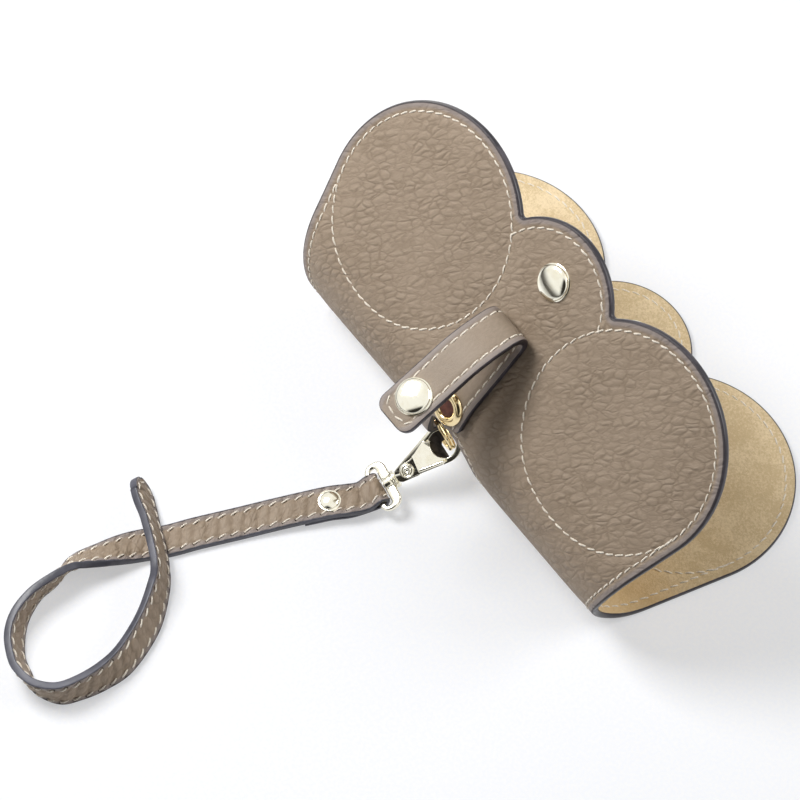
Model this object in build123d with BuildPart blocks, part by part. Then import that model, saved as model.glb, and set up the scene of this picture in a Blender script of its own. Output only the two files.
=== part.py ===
"""Wrap-around leather case for sunglasses, with a snap, a hanging tab and a wrist strap.

One soft sheet of leather and suede lining is folded over. Each half has two round lobes
with a smaller bump between them. A round hole at the middle of the fold lets a tab out.
The tab holds a ring, the ring holds a swivel hook, and the hook holds the wrist strap.
+X runs along the fold, +Y from the fold to the lobes of the lower half, +Z up. The lower
half lies on the table at z = 0, and the origin is midway between its two lobe centres.
"""
import os
from math import acos, asin, atan2, cos, hypot, pi, radians, sin, sqrt, tan

from build123d import *

os.makedirs("parts", exist_ok=True)

# The folded sheet, measured along its middle surface from the middle of the fold
leather = 1.2
lining = 1.0
lobe_stitch_radius = 32.0
edge_margin = 2.9
lobe_side = 45.7
lobe_reach = 56.2
bump_radius = 24.1
bump_beyond_lobes = 11.3
notch_fillet = 1.6
waist_half_width = 69.0
waist_radius = 40.0
hole_radius = 13.6

# The fold: a tight bend, a wider bend, then a flap that curls up very slightly
fold_start = 21.7
first_bend_radius = 18.0
first_bend_angle = radians(65)
second_bend_radius = 27.0
second_bend_angle = radians(72)
curl_radius = 430.0
crease_half = 2.0

# Press studs: one closes the case, one closes the tab
snap_beyond_bump = 7.7
cap_radius = 5.7
cap_lift = 0.06
cap_height = 2.3
cap_rim = 1.03
cap_roll = 0.4
post_beyond = 0.45
socket_radius = 5.1
socket_height = 2.4
socket_flange = 0.7
socket_floor = 0.5
socket_taper = 1.0
stud_flange_radius = 5.75
stud_flange = 0.8
stud_bevel = 0.3
stud_slope = 0.5
knob_radius = 2.9
knob_height = 1.9
knob_bore = 1.9
knob_undercut = 0.35
knob_lip = 0.6
post_radius = 1.7
post_clearance = 0.15
post_flange_radius = 4.95
post_flange = 0.45
post_wall = 0.5
seat_clearance = 0.05

# The hanging tab: two plies, folded over at the top, with its tail round the ring
tab_offset = -0.8
tab_width = 14.0
tab_ply = 1.1
tab_gap = 0.3
tab_tail_end = 30.0
tab_neck_reach = 17.0
tab_eye_reach = 10.4
tab_eye_clear = 1.95
tab_eye_side = (-7.8, -1.9)
tab_taper_reach = 21.0
tab_stud_reach = 24.3
tab_turn_reach = 52.7
tab_turn_radius = 4.8
tab_turn_step = 0.6
upper_level = 4.0
upper_bow_radius = 33.0
upper_bow_angle = radians(22)
upper_straight = 24.0
tab_corner = 3.6
tab_snap_from_end = 9.7

# The ring that hangs in the tab: two coils of wire pressed together
ring_radius = 6.4
ring_wire = 0.62
ring_coil_step = 1.1
ring_side = -4.8
ring_facing = (0.102, 0.983, 0.151)

# The swivel hook: its place from the ring's centre, the way its jaw points, its upper face
hook_from_ring = (1.0, -17.318, -9.576)
hook_heading = (0.178, 0.899, 0.400)
hook_facing = (0.307, -0.437, 0.845)
hook_thickness = 3.2
jaw_reach = 17.4
jaw_shift = 0.9
jaw_outer = 5.8
jaw_inner = 4.3
block_radius = 2.4
block_reach = 2.2
spine_width = 1.5
spine_end = 3.0
mouth_start = 6.8
mouth_end = 15.4
gate_pivot = 4.2
gate_ear = 2.4
gate_sheet = 0.5
gate_clearance = 0.15
gate_web = 0.9
pivot_radius = 0.9
pivot_clearance = 0.05
pivot_head = 2.1
pivot_head_height = 0.6

# The swivel and the eye that holds the wrist strap
swivel_radius = 1.3
swivel_clearance = 0.15
collar_radius = 2.7
collar_length = 1.2
collar_sink = 0.2
boss_over_wire = 0.1
swivel_head_radius = 2.1
swivel_head = 0.9
swivel_bevel = 0.3
eye_facing = (-0.110, -0.310, 0.940)
eye_half_width = 8.75
eye_wire = 1.0
eye_reach = 7.6
eye_corner = 2.4

# The wrist strap
strap_width = 10.0
strap_thickness = 2.4
strap_end_thickness = 1.2
bar_clearance = 0.35
bar_lead = 4.0
strap_rivet_radius = 2.9
strap_rivet_height = 1.5
strap_post_radius = 1.3
rivet_back_radius = 2.3
rivet_back = 0.4
strap_step = 3.0

bump_reach = lobe_reach + bump_beyond_lobes
snap_reach = bump_reach + snap_beyond_bump
sheet = leather + lining
lobe_radius = lobe_stitch_radius + edge_margin
fold_y = fold_start - lobe_reach
first_bend_end = first_bend_radius * first_bend_angle - fold_start
second_bend_end = first_bend_end + second_bend_radius * second_bend_angle
outside = sheet / 2
inside = -sheet / 2
ply_joint = outside - leather
sheet_end = max(lobe_reach + lobe_radius, bump_reach + bump_radius)


def on_sheet(reach, offset=0.0):
    """The point (y, z) at a distance from the middle of the fold, and the outward direction."""
    if reach <= -fold_start:
        return (fold_y - fold_start - reach, sheet / 2 - offset), (0.0, -1.0)
    turned_by = min(reach, first_bend_end) + fold_start
    angle = turned_by / first_bend_radius
    centre = (fold_y, sheet / 2 + first_bend_radius)
    radius = first_bend_radius
    if reach > first_bend_end:
        out = (-sin(angle), -cos(angle))
        centre = (centre[0] + (radius - second_bend_radius) * out[0],
                  centre[1] + (radius - second_bend_radius) * out[1])
        radius = second_bend_radius
        angle += (min(reach, second_bend_end) - first_bend_end) / radius
    if reach > second_bend_end:
        out = (-sin(angle), -cos(angle))
        centre = (centre[0] + (radius + curl_radius) * out[0],
                  centre[1] + (radius + curl_radius) * out[1])
        radius = -curl_radius
        angle += (reach - second_bend_end) / radius
    out = (-sin(angle), -cos(angle))
    point = (centre[0] + (radius + offset) * out[0], centre[1] + (radius + offset) * out[1])
    return point, out


def waist_line():
    """Where the straight side of the outline leaves the waist arc and meets the lobe arc."""
    centre = waist_half_width + waist_radius
    across = centre - lobe_side
    span = hypot(across, lobe_reach)
    tilt = atan2(-lobe_reach, across) + acos((lobe_radius + waist_radius) / span)
    on_waist = (centre - waist_radius * cos(tilt), -waist_radius * sin(tilt))
    on_lobe = (lobe_side + lobe_radius * cos(tilt), lobe_reach + lobe_radius * sin(tilt))
    return on_waist, on_lobe


waist_point, lobe_point = waist_line()


def half_width(reach):
    """Half the width of the sheet at a distance from the middle of the fold, up to the lobes."""
    reach = abs(reach)
    if reach <= waist_point[1]:
        return waist_half_width + waist_radius - sqrt(waist_radius**2 - reach**2)
    slope = (lobe_point[0] - waist_point[0]) / (lobe_point[1] - waist_point[1])
    return waist_point[0] + slope * (reach - waist_point[1])


def sheet_band(start, end, low, high):
    """The side profile of a stretch of the sheet, between two offsets from its middle surface."""
    stops = [start]
    stops += [s for s in (-fold_start, first_bend_end, second_bend_end) if start < s < end]
    stops.append(end)
    with BuildSketch(Plane.YZ) as band:
        with BuildLine():
            for offset in (low, high):
                for a, b in zip(stops, stops[1:]):
                    if b <= -fold_start:
                        Line(on_sheet(a, offset)[0], on_sheet(b, offset)[0])
                    else:
                        ThreePointArc(on_sheet(a, offset)[0], on_sheet((a + b) / 2, offset)[0],
                                      on_sheet(b, offset)[0])
            for s in (start, end):
                Line(on_sheet(s, low)[0], on_sheet(s, high)[0])
        make_face()
    return band.sketch


def lobes(plane, lowest):
    """The outline of the lobes and the bump, in a plane whose origin is between the lobe centres."""
    side = half_width(lowest)
    foot = lowest - lobe_reach
    with BuildSketch(plane) as outline:
        with Locations((-lobe_side, 0), (lobe_side, 0)):
            Circle(lobe_radius)
        with Locations((0, bump_reach - lobe_reach)):
            Circle(bump_radius)
        with BuildLine():
            Polyline((side, foot), (lobe_point[0], lobe_point[1] - lobe_reach), (lobe_side, 0),
                     (-lobe_side, 0), (-lobe_point[0], lobe_point[1] - lobe_reach), (-side, foot),
                     close=True)
        make_face()
        fillet(outline.vertices().sort_by(Axis((0, 0, 0), plane.y_dir))[-2:], notch_fillet)
    return outline.sketch


def side_outline(plane, reaches, along, far):
    """The part of the outline beside the fold, seen square to the given plane."""
    a, m, b = reaches
    with BuildSketch(plane) as outline:
        with BuildLine():
            ThreePointArc((half_width(a), along(a)), (half_width(m), along(m)),
                          (half_width(b), along(b)))
            Line((half_width(b), along(b)), (half_width(b), far))
            Line((half_width(b), far), (-half_width(b), far))
            Line((-half_width(b), far), (-half_width(b), along(b)))
            ThreePointArc((-half_width(b), along(b)), (-half_width(m), along(m)),
                          (-half_width(a), along(a)))
            Line((-half_width(a), along(a)), (half_width(a), along(a)))
        make_face()
    return outline.sketch


def across_y(reach):
    return on_sheet(reach)[0][0]


def up_z(reach):
    return on_sheet(reach)[0][1]


wide = 2 * (lobe_side + lobe_radius)
tall = 2 * on_sheet(sheet_end)[0][1]
fold_middle = on_sheet(0)[0]
lobe_mid, lobe_out = on_sheet(lobe_reach)
flap_plane = Plane(origin=(0, lobe_mid[0], lobe_mid[1]), x_dir=(1, 0, 0),
                   z_dir=(0, lobe_out[0], lobe_out[1]))
bend_join = second_bend_end
hole_top = up_z(hole_radius)
hole_back = across_y(-hole_radius)


def lower_sheet(low, high):
    """The half of the sheet that lies on the table, from the crease to its lobes."""
    with BuildPart() as flat:
        extrude(sheet_band(-sheet_end, -fold_start, low, high), amount=wide, both=True)
        extrude(lobes(Plane.XY, fold_start), amount=tall, both=True, mode=Mode.INTERSECT)
    with BuildPart() as bend:
        extrude(sheet_band(-fold_start, -crease_half, low, high), amount=wide, both=True)
        middle = -(fold_start + crease_half) / 2
        extrude(side_outline(Plane.XY, (-fold_start, middle, -crease_half), across_y,
                             fold_middle[0] - 3 * sheet),
                amount=tall, both=True, mode=Mode.INTERSECT)
        with BuildSketch(Plane.XY) as hole:
            with Locations((0, fold_middle[0])):
                Ellipse(hole_radius, hole_back - fold_middle[0])
            with Locations((0, fold_middle[0] - sheet * 2)):
                Rectangle(2 * hole_radius, sheet * 4)
        extrude(amount=tall, both=True, mode=Mode.SUBTRACT)
    with BuildPart() as half:
        add(flat.part)
        add(bend.part)
    return half.part


def upper_sheet(low, high):
    """The half of the sheet that stands open, from the crease to its lobes."""
    with BuildPart() as flap:
        extrude(sheet_band(bend_join, sheet_end + sheet, low, high), amount=wide, both=True)
        extrude(lobes(flap_plane, bend_join - sheet), amount=tall, both=True, mode=Mode.INTERSECT)
    with BuildPart() as bend:
        extrude(sheet_band(crease_half, bend_join, low, high), amount=wide, both=True)
        middle = (crease_half + bend_join) / 2
        extrude(side_outline(Plane.XZ, (bend_join, middle, crease_half), up_z,
                             fold_middle[1] - 3 * sheet),
                amount=wide, both=True, mode=Mode.INTERSECT)
        with BuildSketch(Plane.XZ) as hole:
            with Locations((0, fold_middle[1])):
                Ellipse(hole_radius, hole_top - fold_middle[1])
        extrude(amount=wide, both=True, mode=Mode.SUBTRACT)
    with BuildPart() as half:
        add(flap.part)
        add(bend.part)
    return half.part


def crease(low, high):
    """The two short bands of the sheet that bend when the case opens or shuts."""
    side = half_width(crease_half)
    with BuildPart() as bands:
        extrude(sheet_band(-crease_half, crease_half, low, high), amount=side, both=True)
        with BuildSketch(Plane.YZ):
            with Locations(fold_middle):
                Circle(4 * crease_half)
        extrude(amount=hole_radius, both=True, mode=Mode.SUBTRACT)
    return bands.part


def turned(origin, up, profile, across=(1, 0, 0)):
    """A solid of revolution: its half profile is given as (radius, height) pairs."""
    face_dir = Vector(*across).cross(Vector(*up))
    with BuildPart() as solid:
        with BuildSketch(Plane(origin=origin, x_dir=across, z_dir=face_dir)):
            with BuildLine():
                Polyline(*profile, close=True)
            make_face()
        revolve(axis=Axis(origin, up))
    return solid.part


def domed_cap(origin, up, radius, height, post, post_length, across=(1, 0, 0)):
    """A cap with a low dome and a rolled rim, on a post that goes down through the leather."""
    face_dir = Vector(*across).cross(Vector(*up))
    rise = height - cap_rim
    sphere = (radius**2 + rise**2) / (2 * rise)
    half = asin(radius / sphere) / 2
    with BuildPart() as cap:
        with BuildSketch(Plane(origin=origin, x_dir=across, z_dir=face_dir)):
            with BuildLine():
                Polyline((0, height), (0, -post_length), (post, -post_length), (post, 0),
                         (radius - cap_roll, 0), (radius, cap_roll), (radius, cap_rim))
                ThreePointArc((radius, cap_rim),
                              (sphere * sin(half), height - sphere * (1 - cos(half))), (0, height))
            make_face()
        revolve(axis=Axis(origin, up))
    return cap.part


def snap_socket(origin, up):
    """The spring socket under a cap: a flanged cup that grips the knob of the stud."""
    bore = post_radius + post_clearance
    grip = knob_radius + post_clearance
    return turned(origin, up, [(bore, 0), (socket_radius, 0), (socket_radius, socket_flange),
                               (socket_radius - socket_taper, socket_height),
                               (grip, socket_height), (grip, socket_floor), (bore, socket_floor)])


def snap_stud(origin, up):
    """The stud: a broad flange with a hollow knob."""
    top = stud_flange + knob_height
    return turned(origin, up, [(knob_bore, 0), (stud_flange_radius - stud_bevel, 0),
                               (stud_flange_radius, stud_bevel),
                               (stud_flange_radius - stud_slope, stud_flange),
                               (knob_radius - knob_undercut, stud_flange),
                               (knob_radius, top - knob_lip), (knob_radius - knob_lip, top),
                               (knob_bore, top)])


def snap_post(origin, up, depth):
    """The back of the stud: a thin cap, let into the leather, with a tube that holds the stud."""
    tube = knob_bore - post_clearance
    bore = tube - post_wall
    end = depth + stud_flange
    return turned(origin, up, [(0, 0), (post_flange_radius, 0), (post_flange_radius, post_flange),
                               (tube, post_flange), (tube, end), (bore, end),
                               (bore, post_flange), (0, post_flange)])


def off_sheet(reach, offset, x=0.0):
    """A point off the sheet's middle surface, with the sheet's outward direction there."""
    (y, z), (out_y, out_z) = on_sheet(reach, offset)
    return (x, y, z), (0, out_y, out_z)


def opposite(direction):
    return tuple(-d for d in direction)


closure_out, closure_up = off_sheet(snap_reach, outside + cap_lift)
closure_in = off_sheet(snap_reach, inside)[0]
closure_back = (0, snap_reach - lobe_reach, 0)
closure_hole = post_radius + post_clearance
seat_radius = post_flange_radius + post_clearance
seat_depth = post_flange + seat_clearance

with BuildPart() as back_leather:
    add(lower_sheet(ply_joint, outside))
    with BuildSketch(Plane.XY):
        with Locations(closure_back[:2]):
            Circle(seat_radius)
    extrude(amount=seat_depth, mode=Mode.SUBTRACT)
    with Locations((0, closure_back[1], 0)):
        Cylinder(knob_bore, 2 * sheet, mode=Mode.SUBTRACT)
back_leather.part.label = "back_leather"
export_step(back_leather.part, "parts/back_leather.step")

with BuildPart() as back_lining:
    add(lower_sheet(inside, ply_joint))
    with Locations((0, closure_back[1], 0)):
        Cylinder(knob_bore, 3 * sheet, mode=Mode.SUBTRACT)
back_lining.part.label = "back_lining"
export_step(back_lining.part, "parts/back_lining.step")

with BuildPart() as fold_leather:
    add(crease(ply_joint, outside))
fold_leather.part.label = "fold_leather"
export_step(fold_leather.part, "parts/fold_leather.step")

with BuildPart() as fold_lining:
    add(crease(inside, ply_joint))
fold_lining.part.label = "fold_lining"
export_step(fold_lining.part, "parts/fold_lining.step")

with BuildPart() as front_leather:
    add(upper_sheet(ply_joint, outside))
    add(turned(closure_out, opposite(closure_up), [(0, -1), (closure_hole, -1),
                                                   (closure_hole, 2 * sheet), (0, 2 * sheet)]),
        mode=Mode.SUBTRACT)
front_leather.part.label = "front_leather"
export_step(front_leather.part, "parts/front_leather.step")

with BuildPart() as front_lining:
    add(upper_sheet(inside, ply_joint))
    add(turned(closure_out, opposite(closure_up), [(0, -1), (closure_hole, -1),
                                                   (closure_hole, 2 * sheet), (0, 2 * sheet)]),
        mode=Mode.SUBTRACT)
front_lining.part.label = "front_lining"
export_step(front_lining.part, "parts/front_lining.step")

with BuildPart() as closure_cap:
    add(domed_cap(closure_out, closure_up, cap_radius, cap_height, post_radius,
                  sheet + post_beyond))
closure_cap.part.label = "closure_cap"
export_step(closure_cap.part, "parts/closure_cap.step")

with BuildPart() as closure_socket:
    add(snap_socket(closure_in, opposite(closure_up)))
closure_socket.part.label = "closure_socket"
export_step(closure_socket.part, "parts/closure_socket.step")

with BuildPart() as closure_stud:
    add(snap_stud((closure_back[0], closure_back[1], sheet), (0, 0, 1)))
closure_stud.part.label = "closure_stud"
export_step(closure_stud.part, "parts/closure_stud.step")

with BuildPart() as closure_post:
    add(snap_post(closure_back, (0, 0, 1), sheet))
closure_post.part.label = "closure_post"
export_step(closure_post.part, "parts/closure_post.step")

# The tab's lower part: its tail inside, the bend round the ring, and the leg on the front
leg_offset = outside + tab_gap + tab_ply
eye_bend = tab_eye_clear + tab_ply


def tab_face(side, offset):
    """One face of a leg of the tab, as a profile; side is 1 outside the sheet and -1 inside."""
    leg = side * (leg_offset + offset)
    bulb = side * (eye_bend + offset)
    halfway = (tab_neck_reach + tab_eye_reach) / 2
    far = tab_turn_reach if side > 0 else tab_tail_end
    Spline(on_sheet(tab_eye_reach, bulb)[0], on_sheet(halfway, (leg + bulb) / 2)[0],
           on_sheet(tab_neck_reach, leg)[0])
    if far > second_bend_end:
        middle = (tab_neck_reach + second_bend_end) / 2
        ThreePointArc(on_sheet(tab_neck_reach, leg)[0], on_sheet(middle, leg)[0],
                      on_sheet(second_bend_end, leg)[0])
        middle = (second_bend_end + far) / 2
        ThreePointArc(on_sheet(second_bend_end, leg)[0], on_sheet(middle, leg)[0],
                      on_sheet(far, leg)[0])
    else:
        ThreePointArc(on_sheet(tab_neck_reach, leg)[0],
                      on_sheet((tab_neck_reach + far) / 2, leg)[0], on_sheet(far, leg)[0])


def eye_arc(offset):
    radius = eye_bend + offset
    ThreePointArc(on_sheet(tab_eye_reach, radius)[0], on_sheet(tab_eye_reach - radius, 0)[0],
                  on_sheet(tab_eye_reach, -radius)[0])


stud_out, stud_up = off_sheet(tab_stud_reach, leg_offset + tab_ply, tab_offset)
stud_under = off_sheet(tab_stud_reach, leg_offset - tab_ply, tab_offset)[0]
tab_left = tab_offset - tab_width / 2
tab_right = tab_offset + tab_width / 2
taper_z = up_z(tab_taper_reach)
neck_z = up_z(tab_eye_reach) + tab_ply

with BuildPart() as tab_lower:
    with BuildSketch(Plane.YZ):
        with BuildLine():
            for offset in (-tab_ply, tab_ply):
                eye_arc(offset)
                tab_face(1, offset)
                tab_face(-1, offset)
            Line(on_sheet(tab_turn_reach, leg_offset - tab_ply)[0],
                 on_sheet(tab_turn_reach, leg_offset + tab_ply)[0])
            Line(on_sheet(tab_tail_end, tab_ply - leg_offset)[0],
                 on_sheet(tab_tail_end, -tab_ply - leg_offset)[0])
        make_face()
    extrude(amount=wide / 2, both=True)
    with BuildSketch(Plane.XZ):
        with BuildLine():
            Polyline((tab_left, tall), (tab_left, 0), (tab_eye_side[1], 0),
                     (tab_eye_side[1], neck_z), (tab_right, taper_z), (tab_right, tall), close=True)
        make_face()
    extrude(amount=wide, both=True, mode=Mode.INTERSECT)
    add(turned(stud_under, stud_up,
               [(0, -tab_gap / 2), (seat_radius, -tab_gap / 2), (seat_radius, seat_depth),
                (knob_bore, seat_depth), (knob_bore, 3 * tab_ply), (0, 3 * tab_ply)]),
        mode=Mode.SUBTRACT)
tab_lower.part.label = "tab_lower"
export_step(tab_lower.part, "parts/tab_lower.step")

with BuildPart() as tab_stud:
    add(snap_stud(stud_out, stud_up))
tab_stud.part.label = "tab_stud"
export_step(tab_stud.part, "parts/tab_stud.step")

with BuildPart() as tab_post:
    add(snap_post(stud_under, stud_up, 2 * tab_ply))
tab_post.part.label = "tab_post"
export_step(tab_post.part, "parts/tab_post.step")

# The turn at the top of the tab, and its free upper leg
turn_start, turn_out = on_sheet(tab_turn_reach, leg_offset)
turn_centre = (turn_start[0] + tab_turn_radius * turn_out[0],
               turn_start[1] + tab_turn_radius * turn_out[1])
turn_from = atan2(-turn_out[1], -turn_out[0])
turn_to = pi / 2


def round_turn(angle, offset):
    radius = tab_turn_radius + offset
    return (turn_centre[0] + radius * cos(angle), turn_centre[1] + radius * sin(angle))


def upper_leg(along, offset):
    """The point (y, z) along the upper leg from the end of the turn, and its upward direction."""
    start = (turn_centre[0], turn_centre[1] + tab_turn_radius)
    bow = upper_bow_radius * upper_bow_angle
    level = min(along, upper_level)
    tilt = min(max(along - upper_level, 0), bow) / upper_bow_radius
    rest = max(along - upper_level - bow, 0)
    y = start[0] - level - upper_bow_radius * sin(tilt) - rest * cos(tilt)
    z = start[1] - upper_bow_radius * (1 - cos(tilt)) - rest * sin(tilt)
    out = (-sin(tilt), cos(tilt))
    return (y + offset * out[0], z + offset * out[1]), out


bow_end = upper_level + upper_bow_radius * upper_bow_angle
upper_length = bow_end + upper_straight

with BuildPart() as tab_turn:
    with BuildSketch(Plane.YZ.offset(tab_offset)):
        with BuildLine():
            middle = (turn_from + turn_to) / 2
            for offset in (-tab_ply, tab_ply):
                ThreePointArc(round_turn(turn_from, offset), round_turn(middle, offset),
                              round_turn(turn_to, offset))
                Line(round_turn(turn_to, offset), upper_leg(tab_turn_step, offset)[0])
            Line(round_turn(turn_from, -tab_ply), round_turn(turn_from, tab_ply))
            Line(upper_leg(tab_turn_step, -tab_ply)[0], upper_leg(tab_turn_step, tab_ply)[0])
        make_face()
    extrude(amount=tab_width / 2, both=True)
tab_turn.part.label = "tab_turn"
export_step(tab_turn.part, "parts/tab_turn.step")

cap_along = upper_length - tab_snap_from_end
(cap_y, cap_z), cap_up = upper_leg(cap_along, tab_ply)
(grip_y, grip_z), grip_up = upper_leg(cap_along, -tab_ply)
tip_plane = Plane(origin=(tab_offset, cap_y, cap_z), x_dir=(1, 0, 0), z_dir=(0, cap_up[0], cap_up[1]))

with BuildPart() as tab_upper:
    with BuildSketch(Plane.YZ):
        with BuildLine():
            for offset in (-tab_ply, tab_ply):
                Line(upper_leg(tab_turn_step, offset)[0], upper_leg(upper_level, offset)[0])
                ThreePointArc(upper_leg(upper_level, offset)[0],
                              upper_leg((upper_level + bow_end) / 2, offset)[0],
                              upper_leg(bow_end, offset)[0])
                Line(upper_leg(bow_end, offset)[0], upper_leg(upper_length, offset)[0])
            for along in (tab_turn_step, upper_length):
                Line(upper_leg(along, -tab_ply)[0], upper_leg(along, tab_ply)[0])
        make_face()
    extrude(amount=wide, both=True)
    with BuildSketch(tip_plane):
        with Locations((0, upper_length - tab_snap_from_end)):
            RectangleRounded(tab_width, 2 * upper_length, tab_corner)
    extrude(amount=tall, both=True, mode=Mode.INTERSECT)
    add(turned((tab_offset, cap_y, cap_z), (0, -cap_up[0], -cap_up[1]),
               [(0, -1), (closure_hole, -1), (closure_hole, 3 * tab_ply), (0, 3 * tab_ply)]),
        mode=Mode.SUBTRACT)
tab_upper.part.label = "tab_upper"
export_step(tab_upper.part, "parts/tab_upper.step")

with BuildPart() as tab_cap:
    add(domed_cap((tab_offset, cap_y, cap_z), (0, cap_up[0], cap_up[1]), cap_radius, cap_height,
                  post_radius, 2 * tab_ply + post_beyond))
tab_cap.part.label = "tab_cap"
export_step(tab_cap.part, "parts/tab_cap.step")

with BuildPart() as tab_socket:
    add(snap_socket((tab_offset, grip_y, grip_z), (0, -grip_up[0], -grip_up[1])))
tab_socket.part.label = "tab_socket"
export_step(tab_socket.part, "parts/tab_socket.step")

# The ring
ring_normal = Vector(*ring_facing).normalized()
ring_across = Vector(ring_normal.Y, -ring_normal.X, 0).normalized()
ring_up = ring_across.cross(ring_normal)
ring_up = ring_up if ring_up.Z > 0 else ring_up * -1
ring_top = Vector(ring_side, *on_sheet(tab_eye_reach)[0])
ring_centre = ring_top - ring_up * ring_radius

with BuildPart() as ring:
    with BuildSketch(Plane(origin=ring_centre, x_dir=ring_across, z_dir=ring_across.cross(ring_normal))):
        with Locations((ring_radius, ring_coil_step / 2), (ring_radius, -ring_coil_step / 2)):
            Circle(ring_wire)
        with Locations((ring_radius, 0)):
            Rectangle(ring_wire, ring_coil_step)
    revolve(axis=Axis(ring_centre, ring_normal))
ring.part.label = "ring"
export_step(ring.part, "parts/ring.step")

# The swivel hook, drawn flat: x along its heading, y towards the side that its mouth is on
heading = Vector(*hook_heading).normalized()
facing = Vector(*hook_facing)
facing = (facing - heading * heading.dot(facing)).normalized()
hook_origin = ring_centre + Vector(*hook_from_ring)
hook_plane = Plane(origin=hook_origin, x_dir=heading, z_dir=facing)
half_thick = hook_thickness / 2
jaw_at = (jaw_reach, jaw_shift)
block_at = (block_reach, 0)
span = hypot(jaw_at[0] - block_at[0], jaw_at[1] - block_at[1])
body_tilt = atan2(jaw_at[1] - block_at[1], jaw_at[0] - block_at[0])
body_taper = asin((jaw_outer - block_radius) / span)


def body_edge(x, side, inset=0.0):
    """The straight side of the hook's body: side is 1 for the spine and -1 for the mouth."""
    slope = body_tilt + side * body_taper
    foot = (block_at[0] - side * block_radius * sin(slope), side * block_radius * cos(slope))
    return (x, foot[1] + tan(slope) * (x - foot[0]) - side * inset / cos(slope))


def on_hook(x, y=0.0, z=0.0):
    return hook_origin + heading * x + hook_plane.y_dir * y + facing * z


collar_top = block_reach - block_radius
collar_end = collar_top + collar_sink - collar_length
boss_top = collar_end - swivel_clearance
boss_length = 2 * (eye_wire + boss_over_wire)
boss_end = boss_top - boss_length
stem_end = boss_end - swivel_clearance - swivel_head
tip_swing = mouth_end - gate_pivot

with BuildSketch() as mouth:
    with BuildLine():
        Polyline((mouth_start, -2 * jaw_outer), (jaw_reach, -2 * jaw_outer), (jaw_reach, jaw_at[1]),
                 body_edge(jaw_reach - spine_end, 1, spine_width),
                 body_edge(mouth_start, 1, spine_width), close=True)
    make_face()
    with Locations((gate_pivot, 0)):
        Circle(tip_swing, mode=Mode.INTERSECT)

with BuildPart() as hook_body:
    with BuildSketch(hook_plane):
        with Locations(jaw_at):
            Circle(jaw_outer)
        with Locations(block_at):
            Circle(block_radius)
        make_hull()
        with Locations(jaw_at):
            Circle(jaw_inner, mode=Mode.SUBTRACT)
        add(mouth.sketch, mode=Mode.SUBTRACT)
        with Locations((gate_pivot, 0)):
            Circle(pivot_radius + pivot_clearance, mode=Mode.SUBTRACT)
    extrude(amount=half_thick, both=True)
    with Locations(Plane(origin=on_hook(collar_top + collar_sink - collar_length / 2), z_dir=heading)):
        Cylinder(collar_radius, collar_length)
hook_body.part.label = "hook_body"
export_step(hook_body.part, "parts/hook_body.step")

cheek = half_thick + gate_clearance
gate_start = mouth_start + 2 * gate_clearance

with BuildPart() as hook_gate:
    with BuildSketch(hook_plane):
        with Locations((gate_pivot, 0)):
            Circle(gate_ear)
        with BuildLine():
            Polyline((gate_pivot, -gate_ear), body_edge(jaw_reach, -1), (jaw_reach, jaw_at[1]),
                     body_edge(jaw_reach - jaw_inner, 1, spine_width / 2),
                     body_edge(mouth_start, 1, spine_width), (gate_pivot, gate_ear), close=True)
        make_face()
        with Locations((gate_pivot, 0)):
            Circle(tip_swing - gate_clearance, mode=Mode.INTERSECT)
            Circle(pivot_radius + pivot_clearance, mode=Mode.SUBTRACT)
        with Locations(jaw_at):
            Circle(jaw_inner + pivot_clearance, mode=Mode.SUBTRACT)
    extrude(amount=cheek + gate_sheet, both=True)
    with BuildSketch(hook_plane):
        with BuildLine():
            Polyline((0, -2 * jaw_outer), (gate_start, -2 * jaw_outer),
                     body_edge(gate_start, -1, gate_web),
                     body_edge(jaw_reach, -1, gate_web), (jaw_reach, 2 * jaw_outer),
                     (0, 2 * jaw_outer), close=True)
        make_face()
    extrude(amount=cheek, both=True, mode=Mode.SUBTRACT)
hook_gate.part.label = "hook_gate"
export_step(hook_gate.part, "parts/hook_gate.step")

with BuildPart() as gate_pivot_rivet:
    with Locations(Plane(origin=on_hook(gate_pivot), z_dir=facing)):
        Cylinder(pivot_radius, 2 * (cheek + gate_sheet + pivot_clearance))
    for side in (1, -1):
        add(turned(on_hook(gate_pivot, 0, side * (cheek + gate_sheet + pivot_clearance)),
                   facing * side,
                   [(0, 0), (pivot_head, 0), (pivot_head, pivot_head_height / 2),
                    (pivot_head - pivot_head_height, pivot_head_height),
                    (0, pivot_head_height)], heading))
gate_pivot_rivet.part.label = "gate_pivot_rivet"
export_step(gate_pivot_rivet.part, "parts/gate_pivot_rivet.step")

with BuildPart() as swivel_pin:
    add(turned(on_hook(0), heading * -1,
               [(0, -collar_end), (swivel_radius, -collar_end),
                (swivel_radius, -boss_end + swivel_clearance),
                (swivel_head_radius, -boss_end + swivel_clearance),
                (swivel_head_radius, -stem_end - swivel_bevel),
                (swivel_head_radius - swivel_head, -stem_end), (0, -stem_end)], facing))
swivel_pin.part.label = "swivel_pin"
export_step(swivel_pin.part, "parts/swivel_pin.step")

# The eye that turns on the hook's stem, and the bar that the wrist strap goes round
eye_up = Vector(*eye_facing)
eye_up = (eye_up - heading * heading.dot(eye_up)).normalized()
bar_along = heading.cross(eye_up)
eye_plane = Plane(origin=hook_origin, x_dir=bar_along, z_dir=eye_up)
eye_side = eye_half_width - eye_wire
eye_top = (boss_top + boss_end) / 2

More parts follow.
